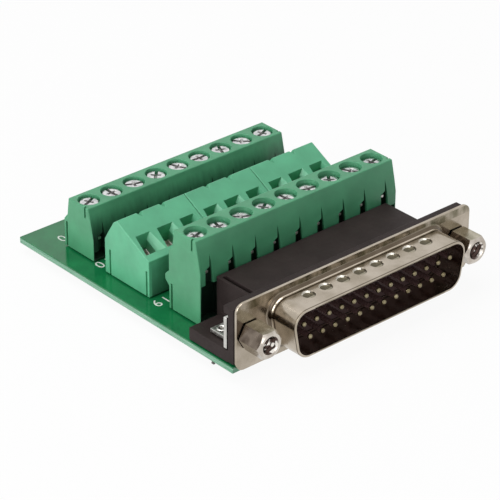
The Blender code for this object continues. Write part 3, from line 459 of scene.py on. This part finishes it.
def turned(name, profile, sides, centre, direction):
    """Round solid: a circle pulled along its axis and resized at each (radius, distance) step, in mm."""
    bpy.ops.object.select_all(action="DESELECT")
    radius, along = profile[0]
    bpy.ops.mesh.primitive_circle_add(vertices=sides, radius=radius * MM, fill_type="NGON",
                                      location=(0, 0, along * MM))
    made = bpy.context.object
    made.name = name
    bpy.ops.object.transform_apply(location=True, rotation=True, scale=True)
    bpy.ops.object.mode_set(mode="EDIT")
    bpy.ops.mesh.select_all(action="SELECT")
    for next_radius, next_along in profile[1:]:
        bpy.ops.mesh.extrude_region_move(TRANSFORM_OT_translate={"value": (0, 0, (next_along - along) * MM)})
        ratio = next_radius / radius
        bpy.ops.transform.resize(value=(ratio, ratio, 1), center_override=(0, 0, next_along * MM))
        radius, along = next_radius, next_along
    face_outwards()
    finish_edit()
    tilt = Vector((0, 0, 1)).rotation_difference(Vector(direction))
    made.data.transform(Matrix.Translation(Vector(centre) * MM) @ tilt.to_matrix().to_4x4())
    return made


def joined(pieces, name):
    take_up(pieces[0])
    for piece in pieces[1:]:
        piece.select_set(True)
    if len(pieces) > 1:
        bpy.ops.object.join()
    pieces[0].name = name
    return pieces[0]


def at_collar_root(middle, edge):
    near = abs(middle.x) < 20.6 and abs(middle.z - AXIS_HEIGHT) < 4.8
    return near and abs(middle.y - FLANGE_FRONT) < 0.01 and is_sharp(edge)


def on_flange(middle, edge):
    above_or_below = middle.y > -26.1 and abs(middle.z - AXIS_HEIGHT) > 5.5
    return above_or_below or abs(middle.x) > 25


shell = block("drawn_shell", (-FLANGE_HALF_WIDTH, FLANGE_FRONT, FLANGE_LOW),
              (FLANGE_HALF_WIDTH, FLANGE_BACK, FLANGE_HIGH))
edit(shell)
pick("EDGE", lambda middle, edge: abs(middle.y - FLANGE_MIDDLE) < 0.1 and abs(middle.x) > 26)
bpy.ops.mesh.bevel(offset=1.6 * MM, segments=8, affect="EDGES")
finish_edit()
cut_or_join(shell, d_block("collar", COLLAR_WALL, COLLAR_RIM, FLANGE_MIDDLE), "UNION")
edit(shell)
pick("EDGE", at_collar_root)
bpy.ops.mesh.bevel(offset=0.9 * MM, segments=6, affect="EDGES", clamp_overlap=False)
pick("EDGE", lambda middle, edge: middle.y < COLLAR_RIM + 0.01 and is_sharp(edge))
bpy.ops.mesh.bevel(offset=0.2 * MM, segments=4, affect="EDGES", clamp_overlap=False)
finish_edit()
cut_or_join(shell, d_block("cavity", 0, -33, -25), "DIFFERENCE")
for side in (-1, 1):
    centre = (side * STANDOFF_X, FLANGE_MIDDLE, AXIS_HEIGHT)
    cut_or_join(shell, turned("stud_hole", [(1.6, -1), (1.6, 1)], 32, centre, (0, 1, 0)), "DIFFERENCE")
    dimples = []
    for i in range(DIMPLE_COUNT):
        centre = ((i - (DIMPLE_COUNT - 1) / 2) * DIMPLE_PITCH, DIMPLE_Y, AXIS_HEIGHT + side * OUTER_WALL)
        dimples.append(turned("dimple", DIMPLE, 20, centre, (0, 0, side)))
    cut_or_join(shell, joined(dimples, "dimples"), "DIFFERENCE")
rounded(shell, 0.07, on_flange)
smoothed(shell, 32)
shell.data.materials.append(shell_plate)
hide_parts("connector_shell")
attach(shell, "board_assembly")

# Insulator and contact pins
# Dark brown moulding at the bottom of the collar. 25 machined pins with rounded tips stand in it, gold
# flashed over nickel, and each sits in a shallow chamfered seat.
INSULATOR_FRONT = -26.45
CONTACT_PITCH = 2.77
CONTACT_ROWS = ((13, 1.42), (12, -1.42))


def moulded(name, colour, low, gloss, grain):
    """Moulded plastic: cloudy colour, a gloss that drifts, and a fine spark-eroded grain."""
    dark = tuple(c * low for c in colour)
    light = tuple(min(c * 1.12, 1) for c in colour)
    return drifting(name, colour, 0.0, (240, 4), [(0.3, dark), (0.7, light)], (1100, 3),
                    (gloss - 0.08, gloss + 0.08), ((5200, 2), grain, 0.02))


insulator_brown = moulded("insulator_moulding", (0.055, 0.027, 0.029), 0.9, 0.55, 0.02)
insulator = d_block("insulator_moulding", -0.02, INSULATOR_FRONT, FLANGE_BACK)
rounded(insulator, 0.12, lambda middle, edge: middle.y < -26.4)
places = [((i - (count - 1) / 2) * CONTACT_PITCH, AXIS_HEIGHT + z)
          for count, z in CONTACT_ROWS for i in range(count)]
seat = [(0.5, 0.25), (0.62, -0.02), (0.7, -0.2)]
seats = [turned("seat", seat, 16, (x, INSULATOR_FRONT, z), (0, 1, 0)) for x, z in places]
cut_or_join(insulator, joined(seats, "seats"), "DIFFERENCE")
smoothed(insulator)
insulator.data.materials.append(insulator_brown)
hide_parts("contact_insulator")
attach(insulator, "board_assembly")

# Only the tips show gold; the shafts are painted dark brown and not metal, as painted shade and reflection of
# the brown moulding round them.
pin_gold, tree, shader, place = new_finish("pin_gold_flash", (0.66, 0.58, 0.38), 1.0)
flash = ramped(tree, noise(tree, place, 900, 3), [(0.3, (0.17, 0.14, 0.08)), (0.7, (0.26, 0.225, 0.14))])
shaft_in_painted_shade = within(tree, by_axis(tree, place)["Y"], -31.1, -26)
tree.links.new(mixed(tree, shaft_in_painted_shade, flash, (0.10, 0.058, 0.055)), shader.inputs["Base Color"])
tree.links.new(math_step(tree, "SUBTRACT", 1.0, shaft_in_painted_shade), shader.inputs["Metallic"])
tree.links.new(ranged(tree, noise(tree, place, 2500), 0.2, 0.32), shader.inputs["Roughness"])
tip = [(0.5, -0.5), (0.5, 4.65), (0.46, 4.86), (0.36, 5.04), (0.2, 5.15), (0.05, 5.18)]
pins = joined([turned("pin", tip, 16, (x, INSULATOR_FRONT, z), (0, -1, 0)) for x, z in places], "contact_pins")
smoothed(pins, 50)
pins.data.materials.append(pin_gold)
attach(pins, "board_assembly")

# Connector moulding
# Satin black body behind the flange, with two feet on the board. It carries the contacts down to their
# tinned solder tails, which are joined to it here; a narrow slot runs beside the left edge of its top.
TAILS_HIGH = 3.05
body_black = moulded("connector_body_moulding", (0.033, 0.0245, 0.0235), 0.85, 0.46, 0.2)
body_black.node_tree.nodes["Principled BSDF"].inputs["Specular IOR Level"].default_value = 0.08
tail_tin = drifting("contact_tail_tin", (0.6, 0.58, 0.54), 1.0,
                    (1500, 2), [(0.35, (0.50, 0.48, 0.44)), (0.65, (0.70, 0.68, 0.64))], (2000, 2), (0.25, 0.4))


def clean_copy(node, name):
    """Copy of a solid with its loose triangles joined and its flat faces made whole."""
    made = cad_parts[node].copy()
    made.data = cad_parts[node].data.copy()
    made.name = name
    made.parent = None
    made.hide_render = False
    for tag in [key for key in made.keys() if key.startswith("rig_")]:
        del made[tag]
    made.data.materials.clear()
    bpy.context.collection.objects.link(made)
    edit(made)
    bpy.ops.mesh.select_all(action="SELECT")
    bpy.ops.mesh.remove_doubles(threshold=0.002 * MM)
    bpy.ops.mesh.select_all(action="SELECT")
    bpy.ops.mesh.dissolve_limited(angle_limit=math.radians(1))
    finish_edit()
    return made


def second_finish(piece, finish, wanted):
    """Gives the faces that pass the test a finish of their own."""
    piece.data.materials.append(finish)
    edit(piece)
    pick("FACE", wanted)
    piece.active_material_index = 1
    bpy.ops.object.material_slot_assign()
    finish_edit()


body = clean_copy("connector_body", "connector_moulding")
rounded(body, 0.15, lambda middle, edge: middle.z > 3.6 and abs(abs(middle.x) - STANDOFF_X) > 1.7)
smoothed(body)
body.data.materials.append(body_black)
second_finish(body, tail_tin, lambda middle, face: middle.z < TAILS_HIGH)
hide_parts("connector_body")
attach(body, "board_assembly")

# Ground straps and eyelets
# Bent strips of tinned steel behind the flange's ears. The standoff's stud holds the upright leg, and a
# hollow rivet through the foot, the moulding and the board holds the rest. A cut lead is bent out below.
EYELET_Y = -19.05
EYELET = [(0.8, 1.3), (0.8, 6.3), (0.96, 6.32), (0.99, 6.44), (0.93, 6.56), (0.8, 6.62), (0.66, 6.58),
          (0.55, 6.45), (0.5, 6.3), (0.5, 1.5)]
CLINCHED_LEG = [(0.34, 0), (0.34, 2.1), (0.22, 2.25)]
strap_tin = drifting("tinned_strap_plate", (0.60, 0.59, 0.56), 1.0,
                     (500, 4), [(0.3, (0.48, 0.47, 0.44)), (0.7, (0.70, 0.69, 0.66))],
                     (1500, 3), (0.26, 0.44), ((900, 3, (1, 1, 0.15)), 0.2, 0.03))
cut_lead = drifting("cut_lead", (0.09, 0.085, 0.08), 0.6,
                    (2500, 2), [(0.3, (0.05, 0.045, 0.04)), (0.7, (0.16, 0.15, 0.14))], (3000, 2), (0.4, 0.6))
for hand, side in (("left", -1), ("right", 1)):
    strap = clean_copy("ground_strap_" + hand, "strap_" + hand)
    edit(strap)
    pick("VERT", lambda middle, point: middle.z > 11.5)
    bpy.ops.transform.translate(value=(0, 0, -0.5 * MM))
    finish_edit()
    rounded(strap, 0.1)
    smoothed(strap)
    strap.data.materials.append(strap_tin)
    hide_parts("ground_strap_" + hand)
    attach(strap, "board_assembly")
    eyelet = turned("eyelet_" + hand, EYELET, 32, (side * STANDOFF_X, EYELET_Y, 0), (0, 0, 1))
    eyelet.data.materials.append(strap_tin)
    smoothed(eyelet, 50)
    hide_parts("strap_eyelet_" + hand)
    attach(eyelet, "board_assembly")
    foot, lean = (side * 24.15, EYELET_Y, 2.1), (side * 0.66, 0, -0.75)
    leg = turned("clinched_leg_" + hand, CLINCHED_LEG, 12, foot, lean)
    leg.data.materials.append(cut_lead)
    smoothed(leg, 50)
    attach(leg, "board_assembly")

# Hex standoffs
# Turned from hexagonal brass bar and nickel plated: a stud at the back, a bore tapped for the mating
# connector's jackscrew and a turned chamfer round the front.
SEAT_Y, STANDOFF_LENGTH, HEX_CORNER = -26.30, 4.7, 2.742
BARREL = [(2.62, -0.5), (2.62, 0.0), (2.85, 0.1), (2.85, 4.2), (2.14, 4.7), (2.1, 4.7), (2.1, 5)]
THREAD_MINOR, THREAD_MAJOR, THREAD_PITCH = 1.3, 1.6, 0.75
standoff_plate, tree, shader, place = new_finish("standoff_nickel_plate", (0.68, 0.64, 0.57), 1.0)
# Colour by facing: painted light on upward, downward and front faces, painted shade on the other flats.
turn = facing(tree)
flat_light_and_shade = patchy_tone(tree, place, (0.19, 0.155, 0.125), (0.08, 0.06, 0.046), 500)
lit_flat = patchy_tone(tree, place, (0.50, 0.46, 0.37), (0.26, 0.24, 0.17), 450)
flat_light_and_shade = mixed(tree, math_step(tree, "GREATER_THAN", turn["Z"], 0.7), flat_light_and_shade, lit_flat)
flat_light_and_shade = mixed(tree, math_step(tree, "LESS_THAN", turn["Z"], -0.3), flat_light_and_shade, (0.42, 0.38, 0.33))
lit_front_face = patchy_tone(tree, place, (0.62, 0.57, 0.51), (0.38, 0.33, 0.28), 600)
faced = mixed(tree, math_step(tree, "LESS_THAN", turn["Y"], -0.4), flat_light_and_shade, lit_front_face)
# Inside the bore: painted shade with painted glints.
spot = by_axis(tree, place)
sideways = math_step(tree, "SUBTRACT", math_step(tree, "ABSOLUTE", spot["X"]), STANDOFF_X * MM)
upwards = math_step(tree, "SUBTRACT", spot["Z"], AXIS_HEIGHT * MM)
reach = math_step(tree, "MULTIPLY_ADD", sideways, sideways, math_step(tree, "MULTIPLY", upwards, upwards))
bore = math_step(tree, "LESS_THAN", reach, (1.64 * MM) ** 2)
bore_shade_and_glints = ramped(tree, noise(tree, place, 800, 1, (1, 2, 1)),
               [(0.53, (0.07, 0.045, 0.038)), (0.62, (0.80, 0.76, 0.70))])
tree.links.new(mixed(tree, bore, faced, bore_shade_and_glints), shader.inputs["Base Color"])
tree.links.new(ranged(tree, noise(tree, place, 1200, 3), 0.14, 0.3), shader.inputs["Roughness"])
bumped(tree, shader, noise(tree, place, 1500, 3, (1, 0.2, 1)), 0.25, 0.03)
tap = [(THREAD_MINOR, 1.1), (THREAD_MINOR, 1.3)]
for ridge in range(4):
    start = 1.35 + ridge * THREAD_PITCH
    tap += [(THREAD_MAJOR, start + 0.3), (THREAD_MAJOR, start + 0.4), (THREAD_MINOR, start + 0.7)]
tap += [(1.36, 4.4), (1.7, 4.7), (1.7, 5.2)]
for hand, side in (("left", -1), ("right", 1)):
    centre, forward = (side * STANDOFF_X, SEAT_Y, AXIS_HEIGHT), (0, -1, 0)
    hexagon = turned("standoff_" + hand, [(HEX_CORNER, 0), (HEX_CORNER, STANDOFF_LENGTH)], 6, centre, forward)
    edit(hexagon)
    bpy.ops.mesh.select_all(action="SELECT")
    bpy.ops.transform.rotate(value=math.pi / 6, orient_axis="Y", center_override=Vector(centre) * MM)
    finish_edit()
    cut_or_join(hexagon, turned("barrel", BARREL, 64, centre, forward), "INTERSECT")
    cut_or_join(hexagon, turned("stud", [(1.3, -4.6), (1.3, 0.5)], 32, centre, forward), "UNION")
    cut_or_join(hexagon, turned("tap", tap, 32, centre, forward), "DIFFERENCE")
    smoothed(hexagon, 30)
    hexagon.data.materials.append(standoff_plate)
    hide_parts("hex_standoff_" + hand)
    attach(hexagon, "board_assembly")

# Straight terminal rows
# Two one-piece housings of green nylon, tall at the front and low at the rear. Each pole has a screw bore
# in the top, a wire mouth in the back and, low in the front face, a pocket with a slit above it.
POLE_PITCH, ROW_POLES, FIRST_POLE = 5, 9, -20.2
ROW_ENDS, ROW_DEPTH = (-22.6, 22.2), 8.15
FOOT_GAP = 0.25
MOUTH_DROP, CHANNEL, CAGE = 7.6, 1.25, 1.22
POCKET_FLOOR, POCKET_HALF, POCKET_DEPTH, POCKET_SLANT = 3.6, 2.15, 2.2, 0.8
PIN_HALF, PIN_HIGH = 0.45, 3.6


def drawn(name, outline, axis, start, end):
    """Bar drawn point by point across X or Y, filled, then pulled along that axis; all in mm."""
    def spot(pair):
        return Vector({"X": (start, *pair), "Y": (pair[0], start, pair[1])}[axis]) * MM
    bpy.ops.object.select_all(action="DESELECT")
    bpy.ops.mesh.primitive_plane_add(size=MM, location=spot(outline[0]))
    made = bpy.context.object
    made.name = name
    bpy.ops.object.transform_apply(location=True, rotation=True, scale=True)
    bpy.ops.object.mode_set(mode="EDIT")
    bpy.ops.mesh.select_mode(type="VERT")
    bpy.ops.mesh.select_all(action="SELECT")
    bpy.ops.mesh.merge(type="CENTER")
    for here, there in zip(outline, outline[1:]):
        bpy.ops.mesh.extrude_vertices_move(TRANSFORM_OT_translate={"value": spot(there) - spot(here)})
    bpy.ops.mesh.select_all(action="SELECT")
    bpy.ops.mesh.edge_face_add()
    pull = {"X": (1, 0, 0), "Y": (0, 1, 0)}[axis]
    bpy.ops.mesh.extrude_region_move(TRANSFORM_OT_translate={"value": Vector(pull) * (end - start) * MM})
    face_outwards()
    finish_edit()
    return made


def lofted(name, rings):
    """Closed solid through rings of four corners, in mm: a mouth that narrows to a channel."""
    bpy.ops.object.select_all(action="DESELECT")
    bpy.ops.mesh.primitive_plane_add(size=MM)
    made = bpy.context.object
    made.name = name
    mesh = bmesh.new()
    loops = [[mesh.verts.new(Vector(corner) * MM) for corner in ring] for ring in rings]
    for near, far in zip(loops, loops[1:]):
        for i in range(4):
            mesh.faces.new((near[i], near[(i + 1) % 4], far[(i + 1) % 4], far[i]))
    mesh.faces.new(loops[0])
    mesh.faces.new(loops[-1])
    bmesh.ops.recalc_face_normals(mesh, faces=mesh.faces)
    mesh.to_mesh(made.data)
    mesh.free()
    return made


def row_nylon(name, colour, front, low, high, reach):
    """Green nylon with painted shade: darker down the front face towards the pockets, and dark hollows."""
    made = moulded(name, colour, 0.9, 0.40, 0.12)
    tree = made.node_tree
    shader = tree.nodes["Principled BSDF"]
    plain = shader.inputs["Base Color"].links[0].from_socket
    place = tree.nodes.new("ShaderNodeTexCoord").outputs["Object"]
    spot = by_axis(tree, place)
    clouds = noise(tree, place, 700, 3, (1.6, 1, 0.25))
    rise = tree.nodes.new("ShaderNodeMapRange")
    for socket, value in (("From Min", low * MM), ("From Max", high * MM), ("To Min", 1.0), ("To Max", 0.0)):
        rise.inputs[socket].default_value = value
    tree.links.new(math_step(tree, "MULTIPLY_ADD", clouds, 2.6 * MM, spot["Z"]), rise.inputs["Value"])
    # Painted shade, deepening down the front face through the given span, and in the hollows.
    dark = all_of(tree, rise.outputs[0], within(tree, spot["Y"], front - 0.4, front + 3.4))
    hollow = all_of(tree, within(tree, spot["Y"], front + 0.5, front + 3.4),
                    within(tree, spot["Z"], 3.2, reach))
    dark = math_step(tree, "MAXIMUM", dark, hollow)
    inside = math_step(tree, "MULTIPLY", within(tree, spot["X"], ROW_ENDS[0] + 0.1, ROW_ENDS[1] - 0.1), 0.93)
    tone = mixed(tree, all_of(tree, dark, inside), plain, (0.004, 0.007, 0.006))
    tree.links.new(tone, shader.inputs["Base Color"])
    return made


def screw_bore(depth, shoulder):
    """Bore that is narrow for the shank and wide for the head, with a chamfered mouth."""
    return [(1.45, -depth), (1.45, -shoulder), (1.95, -shoulder), (1.95, -0.16), (1.99, -0.06), (2.11, 0),
            (2.6, 0.3)]


def hollowed(cage, wanted, depth):
    """Sinks the open end of a clamp's cage."""
    edit(cage)
    pick("FACE", wanted)
    bpy.ops.mesh.inset(thickness=0.3 * MM)
    bpy.ops.mesh.extrude_region_move(TRANSFORM_OT_translate={"value": Vector(depth) * MM})
    finish_edit()
    return cage


def solder_pin(x, y):
    return block("pin", (x - PIN_HALF, y, 0), (x + PIN_HALF, y + 2 * PIN_HALF, PIN_HIGH))


def end_grooves(ends, cuts):
    """Half-millimetre grooves in both end faces, each from a low to a high (y, z) corner."""
    grooves = []
    for side, end in zip((-1, 1), ends):
        near, far = sorted((end - side * 0.5, end + side))
        grooves += [block("groove", (near, *low), (far, *high)) for low, high in cuts]
    return joined(grooves, "grooves")


def fit_metal(members, name, metal):
    """Makes one piece of the like metal parts in a housing."""
    made = joined(members, name)
    rounded(made, 0.06)
    smoothed(made)
    made.data.materials.append(metal)
    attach(made, "board_assembly")


cage_tin = drifting("clamp_cage_plate", (0.62, 0.60, 0.56), 1.0,
                    (1300, 3), [(0.35, (0.50, 0.45, 0.38)), (0.65, (0.72, 0.70, 0.66))],
                    (2600, 2), (0.24, 0.42))


def terminal_row(name, front, height, ledge, painted_shade_span):
    """Housing with its bores, mouths, pockets and slits, and the metal clamps that show in them."""
    top, back = BOARD_TOP + height, front + ROW_DEPTH
    section = [(0, FOOT_GAP), (ROW_DEPTH, FOOT_GAP)]
    if ledge:
        section += [(ROW_DEPTH, 4.5), (9.15, 5.5), (9.15, 6.5), (ROW_DEPTH, 7.5)]
    section += [(ROW_DEPTH, height - 4.5), (7.2, height - 3.4), (6.7, height), (1.25, height),
                (0.45, height - 3.4), (0, height - 5.7)]
    row = drawn(name, [(front + y, BOARD_TOP + z) for y, z in section], "X", *ROW_ENDS)
    rounded(row, 0.16, segments=3)
    poles = [FIRST_POLE + POLE_PITCH * i for i in range(ROW_POLES)]
    bores = [turned("bore", screw_bore(7.6, 4.2), 40, (x, front + 3.975, top), (0, 0, 1)) for x in poles]
    cut_or_join(row, joined(bores, "bores"), "DIFFERENCE")

    mouths, cages, tabs = [], [], []
    z = top - MOUTH_DROP
    narrowing = ((2.3, back + 1.9), (1.86, back + (0.98 if ledge else 0)), (1.7, back - 0.15),
                 (CHANNEL, back - 1.8), (CHANNEL, front + 2.7))
    for x in poles:
        rings = [[(x - half, y, z - half), (x + half, y, z - half), (x + half, y, z + half),
                  (x - half, y, z + half)] for half, y in narrowing]
        mouths.append(lofted("mouth", rings))
        cage = block("cage", (x - CAGE, front + 3.0, z - CAGE), (x + CAGE, back - 1.95, z + CAGE))
        cages.append(hollowed(cage, lambda middle, face: face.normal.y > 0.9, (0, -2.6, 0)))
        tabs.append(block("tab", (x - 1.2, front + 0.3, top - 6.1), (x - 0.4, front + 1.6, top - 5.62)))
    cut_or_join(row, joined(mouths, "mouths"), "DIFFERENCE")

    pocket_top = height - 7.9
    base = BOARD_TOP + pocket_top - POCKET_SLANT
    low = [(front - 1, POCKET_FLOOR), (front + POCKET_DEPTH, POCKET_FLOOR), (front + POCKET_DEPTH, base),
           (front - 1, BOARD_TOP + pocket_top)]
    pockets = [drawn("pocket", low, "X", x - POCKET_HALF, x + POCKET_HALF) for x in poles]
    cut_or_join(row, joined(pockets, "pockets"), "DIFFERENCE")
    slit = ((-1.25, base), (0.55, base), (0.1, top - 2.8), (-0.22, top - 4.9), (-1.25, top - 5.4))
    slits = [drawn("slit", [(x + aside, z) for aside, z in slit], "Y", front - 1, front + 1.5) for x in poles]
    cut_or_join(row, joined(slits, "slits"), "DIFFERENCE")
    cut_or_join(row, end_grooves(ROW_ENDS, (((front + 1.9, top - 2.1), (front + 2.3, top + 1)),
                                            ((front + 7.17, BOARD_TOP), (front + 7.63, 8.3)))), "DIFFERENCE")
    smoothed(row, 30)
    row.data.materials.append(row_nylon(name, (0.07, 0.30, 0.152), front, *painted_shade_span, top - 3.3))
    fit_metal(cages, name + "_cages", cage_tin)
    fit_metal(tabs, name + "_tabs", strap_tin)
    fit_metal([solder_pin(x, front + 3.525) for x in poles], name + "_pins", cage_tin)
    return row


# The last column is the span of height over which the front face fades into painted shade.
for label, node, front, height, ledge, painted_shade_span in (
        ("front_row", "front_row_housing", -12.4, 15.8, True, (8.2, 12.2)),
        ("rear_row", "rear_row_housing", 16.25, 10.1, False, (9.0, 13.4))):
    row = terminal_row(label + "_nylon", front, height, ledge, painted_shade_span)
    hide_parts(node)
    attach(row, "board_assembly")

# Middle modules
# Three slanted housings of lighter nylon, side by side. Wires go in through funnels in the front slope,
# parted by roof-shaped ribs; the screws are in the steep rear slope.
MODULE_FRONT, MODULE_DEPTH, MODULE_WIDTH, MODULE_POLES = 0.35, 11.95, 14.9, 3
SLOPE_FOOT, SLOPE_RUN, SLOPE_RISE = 7.2, 8.5, 4.4
RIDGE, REAR_TOP, REAR_FOOT = (SLOPE_RUN, 11.6), (9.45, 10.9), (MODULE_DEPTH, 6.85)
FUNNEL = ((1.3, -1.7, 1.1, 1.5), (2.8, -1.45, 1.3, 1.15), (4.8, -1.45, 1.3, 1.1))
# The modules take the same painted shade at their front, darker downwards.
module_mint = row_nylon("module_nylon", (0.105, 0.42, 0.235), MODULE_FRONT, 2.0, 11.2, 3.3)
slope = Vector((SLOPE_RUN, SLOPE_RISE)).normalized()
inward = Vector((slope.y, -slope.x))
rear_down = Vector((REAR_FOOT[0] - REAR_TOP[0], REAR_FOOT[1] - REAR_TOP[1])).normalized()
rear_out = Vector((-rear_down.y, rear_down.x))
rear_middle = Vector((MODULE_FRONT + (REAR_TOP[0] + REAR_FOOT[0]) / 2,
                      BOARD_TOP + (REAR_TOP[1] + REAR_FOOT[1]) / 2))


def slope_height(y):
    return BOARD_TOP + SLOPE_FOOT + SLOPE_RISE * y / SLOPE_RUN


def slope_ring(x, depth, near, far, reach):
    """Four corners at a depth under the front slope, round the line of a funnel."""
    middle = Vector((MODULE_FRONT + 3.0, slope_height(3.0))) + inward * depth
    low, high = middle - slope * reach, middle + slope * reach
    return [(x + near, *low), (x + far, *low), (x + far, *high), (x + near, *high)]


def at_clamp_mouth(middle, face):
    return face.normal.y * inward.x + face.normal.z * inward.y < -0.9


straight_up = Vector((0, 1))
notch_run = ((Vector((MODULE_FRONT + 7.5, slope_height(7.5))), straight_up, 0),
             (Vector((MODULE_FRONT + RIDGE[0], BOARD_TOP + RIDGE[1])), straight_up, 0.9),
             (Vector((MODULE_FRONT + REAR_FOOT[0], BOARD_TOP + REAR_FOOT[1])), rear_out, 0.9))
for number, start in enumerate((-23.15, -8.15, 6.85), 1):
    end = start + MODULE_WIDTH
    section = ((0, FOOT_GAP), (MODULE_DEPTH, FOOT_GAP), REAR_FOOT, REAR_TOP, RIDGE, (0, SLOPE_FOOT))
    section = [(MODULE_FRONT + y, BOARD_TOP + z) for y, z in section]
    module = drawn(f"module_{number}_nylon", section, "X", start, end)
    rounded(module, 0.16, segments=3)
    poles = [start + 2.45 + POLE_PITCH * i for i in range(MODULE_POLES)]
    funnels, clamps, bores, notches = [], [], [], []
    for i, x in enumerate(poles):
        left = (start + 0.5, start + 1.1) if i == 0 else (x - 2.35, x - 1.7)
        right = (end - 0.5, end - 1.1) if i == MODULE_POLES - 1 else (x + 2.35, x + 1.7)
        brim = ((left[0], 1.2), (right[0], 1.2), (right[1], 4.8), (left[1], 4.8))
        rings = [[(aside, MODULE_FRONT + y, slope_height(y) + lift) for aside, y in brim] for lift in (1, 0)]
        funnels.append(lofted("funnel", rings + [slope_ring(x, *stage) for stage in FUNNEL]))
        clamp = lofted("clamp", [slope_ring(x, depth, -1.4, 1.4, 1.0) for depth in (3.3, 4.7)])
        clamps.append(hollowed(clamp, at_clamp_mouth, Vector((0, *inward)) * 1.1))
        bores.append(turned("bore", screw_bore(5.6, 2.2), 40, (x, *rear_middle), (0, *rear_out)))
    cut_or_join(module, joined(funnels, "funnels"), "DIFFERENCE")
    cut_or_join(module, joined(bores, "bores"), "DIFFERENCE")
    for x in (poles[0] + POLE_PITCH / 2, poles[1] + POLE_PITCH / 2):
        rings = []
        for point, outward, depth in notch_run:
            tip = point - outward * depth
            brim = tip + outward * 1.6
            rings.append([(x, *tip), (x + 1.2, *brim), (x, *(brim + outward * 0.1)), (x - 1.2, *brim)])
        notches.append(lofted("notch", rings))
    cut_or_join(module, joined(notches, "notches"), "DIFFERENCE")
    cut_or_join(module, end_grooves((start, end), (((0.775, BOARD_TOP), (1.225, 8.3)),
                                                   ((10.625, BOARD_TOP), (11.075, 8.3)))), "DIFFERENCE")
    smoothed(module, 30)
    module.data.materials.append(module_mint)
    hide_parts(f"middle_module_{number}")
    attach(module, "board_assembly")
    fit_metal(clamps, f"module_{number}_clamps", cage_tin)
    fit_metal([solder_pin(x, 6.1) for x in poles], f"module_{number}_pins", cage_tin)

# Solder joints
# Fillets of solder round every terminal pin and contact tail, on the underside of the board. They hold the
# housings and the connector down.
FRONT_Y, MIDDLE_PIN_Y, REAR_Y = -8.425, 6.55, 20.225
FIRST_MIDDLE_POLE = -20.7
solder_tin = drifting("solder_joints", (0.62, 0.62, 0.60), 1.0,
                      (1200, 3), [(0.35, (0.50, 0.50, 0.48)), (0.65, (0.74, 0.74, 0.72))],
                      (1800, 2), (0.2, 0.4))
joints = []
for first, y, count, pitch, size in (
        (FIRST_POLE, FRONT_Y, 9, POLE_PITCH, 1.0), (FIRST_MIDDLE_POLE, MIDDLE_PIN_Y, 9, POLE_PITCH, 1.0),
        (FIRST_POLE, REAR_Y, 9, POLE_PITCH, 1.0), (-16.62, -14.1, 13, CONTACT_PITCH, 0.68),
        (-15.235, -16.64, 12, CONTACT_PITCH, 0.68)):
    fillet = [(1.15 * size, 0), (1.12 * size, 0.14), (0.9 * size, 0.3), (0.7 * size, 0.7), (0.5, 1.1)]
    joints += [turned("fillet", fillet, 20, (first + pitch * i, y, 1.98), (0, 0, -1)) for i in range(count)]
joints = joined(joints, "solder_joints")
smoothed(joints, 60)
joints.data.materials.append(solder_tin)
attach(joints, "board_assembly")

# Terminal screws
# Zinc-plated cheese heads with a slot and a shorter cross recess, driven down each bore onto the clamp.
# No two neighbours were left at the same turn.
HEAD = [(1.2, -1.2), (1.7, -1.2), (1.7, -0.2), (1.64, -0.07), (1.5, 0), (1.1, 0), (0.75, -0.04), (0.3, -0.06)]
CROSS = ((0.26, 1.1, 0.5), (0.26, 0.95, 0), (0.14, 0.5, -0.95))
NEXT_TURN = 67
screw_zinc = drifting("screw_zinc_plate", (0.70, 0.70, 0.71), 1.0,
                      (1500, 3), [(0.35, (0.50, 0.50, 0.51)), (0.65, (0.78, 0.78, 0.78))],
                      (2400, 3), (0.14, 0.30), ((1400, 2), 0.6, 0.05))
# Painted shade: the slot and cross take a darker finish than the head.
recess_painted_shade = drifting("screw_recess", (0.14, 0.14, 0.14), 1.0,
                       (2000, 2), [(0.35, (0.30, 0.29, 0.29)), (0.65, (0.66, 0.65, 0.64))],
                       (2400, 2), (0.35, 0.5))


def in_recess(middle, face):
    return -0.98 < middle.z < -0.1 and middle.to_2d().length < 1.6


def slotted_screw(shank):
    """Screw of a shank's length that stands at the origin; its cross is given by width, reach and height."""
    screw = turned("screw", [(1.2, -1.2 - shank)] + HEAD, 40, (0, 0, 0), (0, 0, 1))
    cut_or_join(screw, block("slot", (-2.5, -0.3, -0.75), (2.5, 0.3, 1)), "DIFFERENCE")
    rings = [[(-width, -reach, z), (width, -reach, z), (width, reach, z), (-width, reach, z)]
             for width, reach, z in CROSS]
    cut_or_join(screw, lofted("cross", rings), "DIFFERENCE")
    smoothed(screw, 30)
    screw.data.materials.append(screw_zinc)
    second_finish(screw, recess_painted_shade, in_recess)
    return screw


def copied(piece, name):
    """Copy with a mesh of its own."""
    twin = piece.copy()
    twin.data = piece.data.copy()
    twin.name = name
    bpy.context.collection.objects.link(twin)
    return twin


long_screw, short_screw = slotted_screw(3.8), slotted_screw(3.0)
for label, model, first, direction, first_turn in (
        ("front", long_screw, (FIRST_POLE, FRONT_Y, 18.15), (0, 0, 1), 12),
        ("rear", long_screw, (FIRST_POLE, REAR_Y, 12.8), (0, 0, 1), 25),
        ("middle", short_screw, (FIRST_MIDDLE_POLE, *(rear_middle - rear_out * 0.5)), (0, *rear_out), 40)):
    tilt = Vector((0, 0, 1)).rotation_difference(Vector(direction)).to_matrix().to_4x4()
    for i in range(ROW_POLES):
        node = f"{label}_screw_{i + 1}"
        screw = copied(model, node + "_zinc")
        spin = Matrix.Rotation(math.radians(first_turn + NEXT_TURN * i), 4, "Z")
        place = Matrix.Translation((Vector(first) + Vector((POLE_PITCH * i, 0, 0))) * MM)
        screw.data.transform(place @ tilt @ spin)
        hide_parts(node)
        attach(screw, node)
bpy.data.objects.remove(long_screw)
bpy.data.objects.remove(short_screw)
